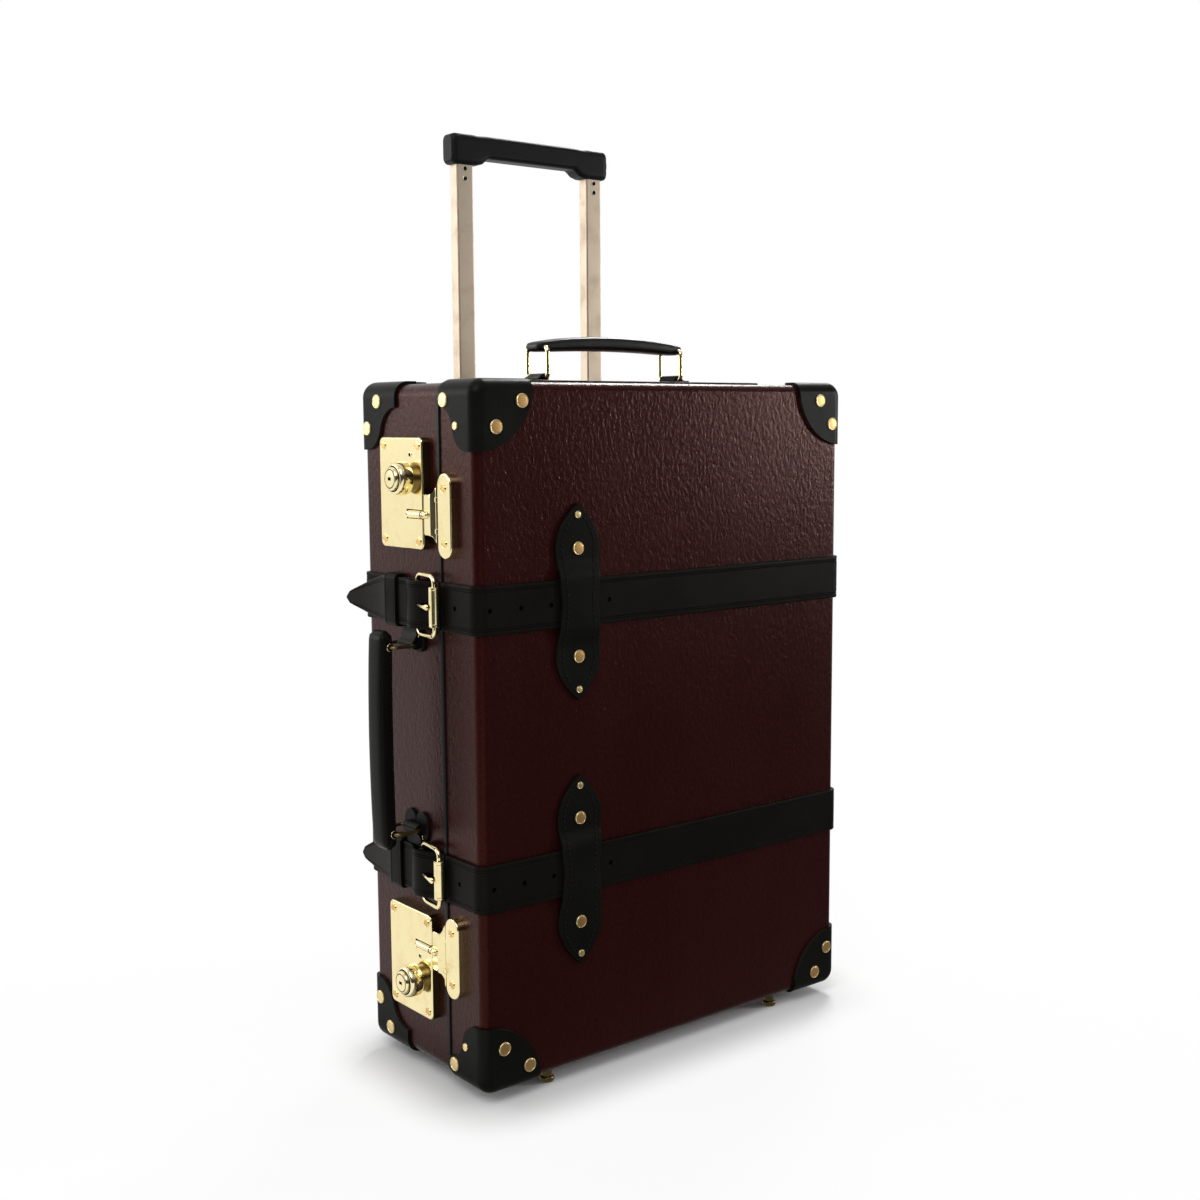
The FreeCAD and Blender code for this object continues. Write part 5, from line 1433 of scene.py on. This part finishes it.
@dataclass
class CarryHandle:
    """Padded leather grip on two wire links that swing in leather chapes."""

    bench: Bench
    title: str
    place: Matrix
    links: tuple[str, str]
    grip_half: float
    ring_at: float
    high: float
    crown: float
    under: float
    body: str
    lobed: bool
    low: float = 5.2
    leg: float = 13.6
    wire: float = 1.8
    bend: float = 4.2
    wide: float = 10.5
    thick: float = 9.0
    roll: float = 4.05
    roll_half: float = 10.4
    tab: float = 2.4
    tab_end: float = 130.0
    tab_rivets: Point = (122.0, 106.0)
    stud: Point = (59.5, -9.5)
    lobe_from: Sequence[float] = (60.0, 67.0)
    lobe_end: float = 84.0
    lobe_half: float = 8.5
    lobe_thick: float = 2.5
    lobe_rivet: float = 80.4
    lift: float = 0.0
    taper: float = 0.86
    coat: Coat = Coat.POLISHED

    def grip(self) -> Form:
        """Grip that swells in the middle and folds round a wire at each end."""
        rows = []
        for step in range(41):
            part = -1.0 + step / 20
            rows.append(math.copysign(abs(part) ** 0.85, part) * self.grip_half)
        line, sizes = [], []
        for u in rows:
            part = abs(u) / self.grip_half
            bow = 1.0 - part ** 2
            end = rounding(part, 0.93, 0.03)
            grow = self.taper + (1.0 - self.taper) * min(1.0, (1.0 - part) / 0.28)
            line.append(Vector((u, 0, self.high + self.lift + (self.crown + self.under) / 2 * bow)))
            deep = self.thick + (self.crown - self.under) * bow
            sizes.append((self.wide * (0.55 + 0.45 * end), deep / 2 * (0.30 + 0.70 * end) * grow))
        section = []
        for step in range(24):
            turn = math.tau * step / 24
            a, b = math.cos(turn), math.sin(turn)
            power = 0.62 if b > 0 else 0.42
            section.append((math.copysign(abs(a) ** 0.62, a), math.copysign(abs(b) ** power, b)))
        frames = [sized(spot, *size) for spot, size in zip(stations(line, -Y), sizes)]
        form = Form().sweep(section, frames)
        for side in (-1, 1):
            seam = [spot.translation + Vector((0, side * size[0] * 0.985, -size[1] * 0.48))
                    for spot, size in zip(frames, sizes)][4:-4]
            stitches(form, seam, Vector((0, side, -0.35)), 3.6, 1, 0.5)
        return form.move(self.place)

    def link(self, side: int) -> Form:
        """Wire ring at one end."""
        at = side * self.ring_at
        corners = [Vector((at, -self.leg, self.low)), Vector((at, self.leg, self.low)),
                   Vector((at, self.leg, self.high)), Vector((at, -self.leg, self.high))]
        line = rounded_line(corners, self.bend, 8, closed=True)
        return Form().sweep(ring(self.wire, 14), stations(line, X, True), True).move(self.place)

    def strap(self, side: int, end: float, wide: float) -> Form:
        """Tab that lies on the case and is folded round the wire.

        Args:
            side: end of the handle.
            end: distance of the tab's far end from the handle's middle.
            wide: width of the tab.

        Returns:
            The tab.
        """
        at, away = self.ring_at, 1 if end > self.ring_at else -1
        path = [(end + (at + away * 5.5 - end) * step / 8, 0.05) for step in range(9)]
        for step in range(15):
            turn = math.radians(-75 - 235 * step / 14)
            path.append((at + away * self.roll * math.cos(turn), self.low + self.roll * math.sin(turn)))
        path += [(at + away * reach, 2 * self.tab + 0.1) for reach in (7.5, 13)]
        line = stations([Vector((side * u, 0, up)) for u, up in path], -Y * side * away)
        frames = [sized(spot, rounding(1.0 - step / 2.4, 0.0, 0.02), 1.0)
                  for step, spot in enumerate(line)]
        return Form().sweep(pill(wide, self.tab, 0.7, 3, (2.0,), 0.25), frames)

    def chapes(self) -> tuple[Form, Form]:
        """Leather at both ends and the heads that hold it."""
        leather, heads, head = Form(), Form(), rivet(2.6, 1.2, 0, 1, 18)
        half, top = self.lobe_half, self.lobe_thick
        for side, start in zip((-1, 1), self.lobe_from):
            if self.lobed:
                leather.add(self.strap(side, self.lobe_end, 2 * self.roll_half))
                for off in (-half, half):
                    lobe = slab((start, off - half, 0.0), (self.lobe_end, off + half, top), 2, 8.2, 0.7,
                                [top], 8)
                    leather.add(lobe.move(Matrix.Diagonal((side, 1, 1, 1))))
                    heads.stamp(head, [Matrix.Translation((side * self.lobe_rivet, off, top))])
            else:
                leather.add(self.strap(side, self.tab_end, 2 * self.roll_half - 0.8))
                heads.stamp(head, [Matrix.Translation((side * at, 0, self.tab))
                                   for at in self.tab_rivets])
                along_tab, across = self.stud
                heads.stamp(rivet(1.8, 2.6, 0, 0, 16),
                            [Matrix.Translation((side * along_tab, across, 0.0))])
        return leather.move(self.place), heads.move(self.place)

    def build(self) -> None:
        """Set out grip, links and chapes."""
        title, bench = self.title, self.bench
        pad = self.grip()
        if self.lobed:
            # Brass eyelets whose middles are near-black: painted shade of the hole.
            eyelet = rivet(3.2, 1.1, 2, 3, 20)
            pad.stamp(eyelet, [self.place @ facing(Y * way, (end * self.ring_at, way * self.wide * 0.97,
                                                             self.high))
                               for way in (-1, 1) for end in (-1, 1)])
        grip = bench.piece(f"{title}_handle_pad", pad,
                           [self.coat, Coat.THREAD, Coat.BRASS, Coat.SHADOW], self.body, "leather",
                           [f"{title}_handle_grip"], sharp=60.0)
        for side, name in zip((-1, 1), self.links):
            # The side handle's links take darkened brass: painted shade between grip and wall.
            coat = Coat.SHADED_BRASS if self.lobed else Coat.BRASS
            bench.piece(f"{name}_wire", self.link(side), [coat], f"{name}_link", "brass",
                        [f"{name}_handle_link"])
        leather, heads = self.chapes()
        bench.piece(f"{title}_handle_tabs", leather, [Coat.LEATHER], "base", "leather",
                    [f"{title}_handle_chapes"])
        bench.piece(f"{title}_handle_rivets", heads, [Coat.BRASS, Coat.COPPER], "base", "brass")


@dataclass
class Trolley:
    """Pull handle: tubes, collars, grip, button and the rivets under the grip."""

    bench: Bench
    tube_at: float = 69.9
    half_wide: float = 8.3
    tube_y: tuple[float, float] = (110.0, 121.0)
    tube_top: float = 750.0
    tube_long: float = 482.0
    tube_round: float = 1.4
    collar_z: tuple[float, float] = (548.0, 557.0)
    collar_wall: float = 2.2
    collar_clear: float = 0.25
    grip_half: float = 84.0
    grip_y: tuple[float, float] = (106.5, 124.5)
    grip_z: tuple[float, float] = (738.0, 763.5)
    arch: float = 6.5
    lobe: float = 31.0
    blend: float = 6.0
    end_round: float = 5.0
    rivet: float = 2.2
    rivet_drops: Point = (3.2, 11.5)

    @property
    def middle(self) -> float:
        """Depth of the tubes' middle."""
        return sum(self.tube_y) / 2

    def tubes(self) -> Form:
        """Both tubes, with round corners."""
        form = Form()
        for side in (-1, 1):
            at = side * self.tube_at
            form.add(Form().brick((at - self.half_wide, self.tube_y[0], self.tube_top - self.tube_long),
                                  (at + self.half_wide, self.tube_y[1], self.tube_top))
                     .ease(self.tube_round, 4, along(2)))
        return form

    def collars(self) -> Form:
        """Collars where the tubes leave the housing."""
        form, run = Form(), self.collar_clear
        low, high = self.collar_z
        for side in (-1, 1):
            at, wall = side * self.tube_at, self.collar_wall
            outer = slab((at - self.half_wide - wall, self.tube_y[0] - wall, low),
                         (at + self.half_wide + wall, self.tube_y[1] + wall, high), 2, 4.2, 1.4, [high])
            bore = Form().brick((at - self.half_wide - run, self.tube_y[0] - run, low - 1),
                                (at + self.half_wide + run, self.tube_y[1] + run, high + 1))
            form.add(outer.carve(bore.ease(1.5, 4, along(2))))
        return form

    def grip(self) -> Form:
        """Moulded grip with a raised middle underneath and round ends."""
        low, high = self.grip_z
        shoulder = self.grip_half - self.lobe
        line, sizes = [], []
        count = 48
        for step in range(count + 1):
            u = -math.cos(math.pi * step / count) * self.grip_half
            rise = 1.0 - eased(abs(u), shoulder - self.blend, shoulder + self.blend)
            floor = low + self.arch * rise
            end = rounding(abs(u) / self.grip_half, 1.0 - self.end_round / self.grip_half, 0.02)
            line.append(Vector((u, self.middle, (floor + high) / 2)))
            sizes.append(((self.grip_y[1] - self.grip_y[0]) / 2 * (0.62 + 0.38 * end),
                          (high - floor) / 2 * (0.72 + 0.28 * end)))
        section = pill(2.0, 2.0, 0.42, 5)
        frames = [sized(spot, *size) @ Matrix.Translation((0, -1.0, 0))
                  for spot, size in zip(stations(line, -Y), sizes)]
        return Form().sweep(section, frames)

    def heads(self) -> Form:
        """Two small rivets on the front of each tube."""
        spots = [(side * self.tube_at, self.tube_y[0], self.grip_z[0] - drop)
                 for side in (-1, 1) for drop in self.rivet_drops]
        # Their middles take the near-black finish: painted shade of the hollow.
        return Form().stamp(rivet(self.rivet, 0.5, 0, 1, 16), [facing(-Y, spot) for spot in spots])

    def button(self) -> Form:
        """Release nub on the right end of the grip."""
        low, high = (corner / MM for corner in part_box("trolley_button"))
        return slab(low, high, 0, 2.2, 1.2, [high.x])

    def build(self) -> None:
        """Set out the pull handle."""
        parts = (("tubes", self.tubes(), [Coat.ALUMINIUM], "trolley", "aluminium", "inner_tubes"),
                 ("collars", self.collars(), [Coat.ALUMINIUM], "base", "aluminium", "collars"),
                 ("grip", self.grip(), [Coat.PLASTIC], "trolley", "black_plastic", "grip"),
                 ("rivets", self.heads(), [Coat.NICKEL, Coat.SHADOW], "trolley", "steel", "rivets"),
                 ("button", self.button(), [Coat.PLASTIC], "button", "black_plastic", "button"))
        for name, form, coats, body, slot, node in parts:
            self.bench.piece(f"pull_{name}", form, coats, body, slot, [f"trolley_{node}"])
        self.bench.keep("trolley_outer_tubes", Coat.STEEL)
        self.bench.keep("trolley_plugs", Coat.PLASTIC)


@dataclass
class Housing:
    """Moulded housing of the pull handle on the back, with grooves and screws."""

    bench: Bench
    back: float = 126.7
    groove: float = 4.4
    groove_deep: float = 1.3
    groove_step: float = 17.0
    grooves: int = 9
    groove_z: tuple[float, float] = (92.0, 498.0)
    screw: float = 3.6
    screw_at: Sequence[Point] = ((101.0, 66.0), (101.0, 285.0), (101.0, 532.0))

    def shell(self) -> Form:
        """Housing with a field of upright grooves."""
        field = Form()
        for number in range(self.grooves):
            at = (number - (self.grooves - 1) / 2) * self.groove_step
            field.add(slab((at - self.groove / 2, self.back - self.groove_deep, self.groove_z[0]),
                           (at + self.groove / 2, self.back + 2.0, self.groove_z[1]), 1,
                           self.groove / 2 - 0.05, 0, [], 6))
        return recast("trolley_housing").carve(field)

    def screws(self) -> Form:
        """Countersunk screws with a cross in the head."""
        head = Form().turn([(self.screw, -0.2), (self.screw, 0.25), (self.screw - 0.5, 0.5),
                            (0.0, 0.6)], Vector(), Z, 24)
        # The cross is a near-black bar on the head: painted shade of the recess.
        head.stamp(Form().brick((-2.1, -0.4, 0.3), (2.1, 0.4, 0.66)).paint(1, lambda face: True),
                   [Matrix.Rotation(math.radians(turn), 4, "Z") for turn in (20, 110)])
        spots = [facing(Y, (side * at, self.back, up)) for side in (-1, 1) for at, up in self.screw_at]
        return Form().stamp(head, spots)

    def build(self) -> None:
        """Set out housing, foot and screws."""
        parts = (("housing", self.shell(), "trolley_housing"),
                 ("foot", recast("housing_foot"), "housing_foot"))
        for name, form, node in parts:
            self.bench.piece(f"{name}_moulding", form, [Coat.PLASTIC], "base", "black_plastic", [node],
                             bevel=0.5)
        self.bench.piece("housing_screws", self.screws(), [Coat.STEEL, Coat.SHADOW], "base", "steel")


@dataclass
class Wheel:
    """Grooved tyre on a spoked hub."""

    bench: Bench
    side: str
    out: int
    radius: float = 24.0
    half: float = 9.5
    rim: float = 19.0
    at: float = 98.0
    deep: float = 104.5
    bore: float = 4.15
    boss: float = 7.0
    spokes: int = 5
    spoke_half: float = 1.5

    def build(self) -> None:
        """Set out tyre and hub."""
        foot = Vector((self.out * self.at, self.deep, self.radius))
        half, top, rim = self.half, self.radius, self.rim
        tread = mirrored([(rim, -half), (top - 2.2, -half), (top - 0.7, -half + 0.8), (top, -half + 2.4),
                          (top, -3.4), (top - 0.8, -3.0), (top - 0.8, -2.2), (top, -1.8)])
        boss = self.boss
        dish = mirrored([(self.bore, -half + 1.0), (boss, -half + 1.0), (boss + 0.6, -half + 2.4),
                         (14.2, -half + 2.4), (15.2, -half + 0.8), (rim - 0.05, -half + 0.4)])
        tyre, hub = (Form().turn(rows, foot, X, 64) for rows in (tread, dish))
        spoke = slab((-half + 1.2, -self.spoke_half, 6.8), (half - 1.2, self.spoke_half, 15.0), 2, 0.6,
                     0, [])
        turns = [Matrix.Rotation(math.tau * step / self.spokes, 4, "X") for step in range(self.spokes)]
        hub.stamp(spoke, [Matrix.Translation(foot) @ turn for turn in turns])
        body = f"{self.side}_wheel"
        self.bench.piece(f"{self.side}_tyre", tyre, [Coat.TYRE], body, "tyre", [f"{body}_tyre"])
        self.bench.piece(f"{self.side}_hub", hub, [Coat.PLASTIC], body, "black_plastic", [f"{body}_hub"])


@dataclass
class Hinges:
    """Three butt hinges on the right side."""

    case: Case
    bench: Bench
    pin: Point = (196.5, -31.6)
    heights: Sequence[float] = (100.0, 281.0, 462.0)
    half: float = 30.0
    long: float = 22.0
    thick: float = 1.8
    barrel: float = 3.0
    bore: float = 1.65
    gap: float = 0.15
    rivet_at: Sequence[Point] = ((-5, -21), (5, -7), (-5, 7), (5, 21))

    def leaf(self, lid: bool) -> Form:
        """Leaves of one half with their knuckles and rivets.

        Args:
            lid: whether the half is the lid.

        Returns:
            The leaves.
        """
        wall, form = self.case.half, Form()
        near = self.case.lid_rim if lid else self.case.base_rim
        far = near - self.long if lid else near + self.long
        low, high = sorted((near, far))
        for up in self.heights:
            form.add(slab((wall, low, up - self.half), (wall + self.thick, high, up + self.half),
                          0, 3.0, 0.6, [wall + self.thick]))
            start = up + self.gap if lid else up - self.half
            form.turn(sleeve(self.bore, self.barrel, self.half - self.gap),
                      Vector((*self.pin, start)), Z, 28)
            mid = (low + high) / 2
            spots = [(wall + self.thick, mid + off, up + rise) for off, rise in self.rivet_at]
            form.stamp(rivet(2.3, 0.8, 0, 0, 18), [facing(X, spot) for spot in spots])
        return form

    def build(self) -> None:
        """Set out leaves and pins."""
        for half in ("lid", "base"):
            self.bench.piece(f"{half}_hinge_brass", self.leaf(half == "lid"), [Coat.BRASS], half,
                             "brass", [f"{half}_hinge_leaves"])
        self.bench.keep("hinge_pins", Coat.STEEL)
        self.bench.keep("wheel_axles", Coat.STEEL)


@dataclass
class Glides:
    """Brass glides under the front edge."""

    bench: Bench
    at: float = 124.0
    deep: float = -66.5
    radius: float = 6.0
    high: float = 12.0

    def build(self) -> None:
        """Set out both glides."""
        reach, high = self.radius, self.high
        rows = [(0.0, 0.0), (reach - 1.6, 0.0), (reach - 0.5, 0.5), (reach, 1.6), (reach, 3.6),
                (reach - 0.6, 4.4), (reach - 1.6, 5.0), (reach - 1.6, high - 2.0),
                (reach - 0.2, high - 1.2), (reach, high), (0.0, high)]
        form = Form()
        for side in (-1, 1):
            form.turn(rows, Vector((side * self.at, self.deep, 0)), Z, 36)
        # Darkened brass: painted shade under the front edge.
        self.bench.piece("glide_brass", form, [Coat.SHADED_BRASS], "lid", "brass", ["front_feet"])


@dataclass
class Studio:
    """Floor, light and the camera that matches the photograph."""

    eye: Spot = (-0.8129, -0.99925, 0.52126)
    ahead: Spot = (0.62033, 0.77554, -0.11719)
    up: Spot = (0.07807, 0.08762, 0.99309)
    lens: float = 45.687
    sensor: float = 36.0
    aim: Spot = (0.0, 0.0, 0.30)
    footprint: Spot = (0.17, 0.06, 0.0)
    lamps: Sequence[tuple[str, Spot, float, float]] = (
        ("key_lamp", (-1.5, -1.1, 2.1), 22.0, 1.2), ("front_lamp", (2.46, -1.34, 0.72), 28.0, 0.50),
        ("top_lamp", (1.4, 0.9, 2.0), 32.0, 0.6), ("back_lamp", (-1.6, 1.5, 1.0), 12.0, 0.9))

    def floor(self) -> None:
        """Pale floor that shows as white and keeps the shadow."""
        mesh = bpy.data.meshes.new("floor")
        plane = bmesh.new()
        bmesh.ops.create_grid(plane, x_segments=4, y_segments=4, size=12.0)
        plane.to_mesh(mesh)
        plane.free()
        made = bpy.data.objects.new("floor", mesh)
        bpy.context.scene.collection.objects.link(made)
        material = bpy.data.materials.new("floor_finish")
        material.use_nodes = True
        graph = Graph(material.node_tree)
        camera, glossy = (graph.node("LightPath", way) for way in ("Is Camera Ray", "Is Glossy Ray"))
        place = graph.node("TexCoord", "Object")
        apart = graph.node("VectorMath", 0, {"operation": "ABSOLUTE"}, {0: place})
        apart = graph.node("VectorMath", 0, {"operation": "SUBTRACT"}, {0: apart, 1: self.footprint})
        apart = graph.node("VectorMath", 0, {"operation": "MAXIMUM"}, {0: apart, 1: (0, 0, 0)})
        away = graph.node("VectorMath", "Value", {"operation": "LENGTH"}, {0: apart})
        aside, depth = (graph.node("SeparateXYZ", way, None, {0: place}) for way in "XY")
        beside = graph.ramp(aside, -0.26, -0.205, 1.0, 0.0) * graph.ramp(aside, -1.5, -0.9)
        bright = graph.ramp(depth, -0.3, 0.5, 0.06, 1.0).most(beside)
        level = camera + (1.0 - camera) * bright
        glow = graph.node("Emission", 0, None, {"Color": (1, 1, 1, 1), "Strength": level})
        matt = graph.node("BsdfDiffuse", 0, None, {"Color": (0.80, 0.80, 0.80, 1)})
        faint = graph.ramp(away, 0.02, 0.085, 0.0, 0.88) + graph.ramp(away, 0.30, 1.20, 0.0, 0.12)
        share = (camera * faint).most(glossy)
        mixed = graph.node("MixShader", 0, None, {0: share, 1: matt, 2: glow})
        graph.put(graph.tree.nodes["Material Output"], {"Surface": mixed})
        mesh.materials.append(material)

    def sky(self) -> None:
        """White surroundings for the camera, darker behind it for the reflections."""
        world = bpy.data.worlds.new("studio")
        bpy.context.scene.world = world
        world.use_nodes = True
        graph = Graph(world.node_tree)
        way = graph.node("TexCoord", "Generated")
        depth, height = (graph.node("SeparateXYZ", axis, None, {0: way}) for axis in "YZ")
        room = graph.ramp(depth, -0.25, 0.45, 0.05, 1.0).most(graph.ramp(height, 0.25, 0.90, 0.03, 0.7))
        camera = graph.node("LightPath", "Is Camera Ray")
        glossy = graph.node("LightPath", "Is Glossy Ray").most(
            graph.node("LightPath", "Is Transmission Ray"))
        level = camera + (1.0 - camera) * (glossy * room + (1.0 - glossy) * 0.55)
        shade = graph.tree.nodes["Background"]
        graph.put(shade, {"Color": (1, 1, 1, 1), "Strength": level})

    def lamp(self, title: str, spot: Sequence[float], power: float, size: float) -> None:
        """Hang a soft lamp that faces the case.

        Args:
            title: name of the lamp.
            spot: where it hangs.
            power: its power in watts.
            size: side of its square face.
        """
        light = bpy.data.lights.new(title, "AREA")
        light.energy, light.size = power, size
        made = bpy.data.objects.new(title, light)
        made.location = spot
        made.rotation_euler = (Vector(self.aim) - Vector(spot)).to_track_quat("-Z", "Y").to_euler()
        bpy.context.scene.collection.objects.link(made)

    def camera(self) -> None:
        """Stand the camera where the photograph was taken from."""
        data = bpy.data.cameras.new("camera")
        data.lens, data.sensor_width = self.lens, self.sensor
        data.dof.use_dof = False
        made = bpy.data.objects.new("camera", data)
        ahead, up = Vector(self.ahead), Vector(self.up)
        place = Matrix((ahead.cross(up), up, -ahead)).transposed().to_4x4()
        place.translation = self.eye
        made.matrix_world = place
        bpy.context.scene.collection.objects.link(made)
        bpy.context.scene.camera = made

    def build(self) -> None:
        """Set up the studio."""
        self.floor()
        self.sky()
        for lamp in self.lamps:
            self.lamp(*lamp)
        self.camera()
        bpy.context.scene.view_settings.view_transform = "Standard"


def main() -> None:
    """Build every sub-assembly and the studio."""
    logging.basicConfig(level=logging.INFO, format="%(message)s")
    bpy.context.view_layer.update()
    case, bench = Case(), Bench()
    top = Matrix.Translation((0, 6.7, case.high))
    side = Matrix(((0, 0, -1, -case.half), (0, 1, 0, 8.0), (1, 0, 0, 277.0), (0, 0, 0, 1)))
    tiers = ("upper", "lower")
    belts = tuple(zip(tiers, (case.strap_high, case.strap_low)))
    flares = (25.0, 15.0)
    locks = ((466.8, 478.3, 451.2), (95.2, 83.7, 110.8))
    parts = [
        Shell(case, bench), CornerCaps(case, bench),
        *(Belt(case, bench, *belt, flare) for belt, flare in zip(belts, flares)),
        *(BeltLoop(case, bench, *belt) for belt in belts),
        *(Buckle(bench, *belt) for belt in belts),
        *(Lock(case, bench, tier, *levels) for tier, levels in zip(tiers, locks)),
        CarryHandle(bench, "top", top, ("left", "right"), 78.0, 71.5, 30.2, 5.5, 2.6, "top_grip", False),
        CarryHandle(bench, "side", side, ("low", "high"), 85.5, 73.0, 28.7, 2.2, 1.0, "side_grip", True,
                    wire=1.4, thick=12.6, lift=1.8, taper=0.97, coat=Coat.PADDED),
        Trolley(bench), Housing(bench), Wheel(bench, "left", -1), Wheel(bench, "right", 1),
        Hinges(case, bench), Glides(bench), Studio(),
    ]
    for part in parts:
        part.build()
    log.info("pieces set out")


if __name__ == "__main__":
    main()
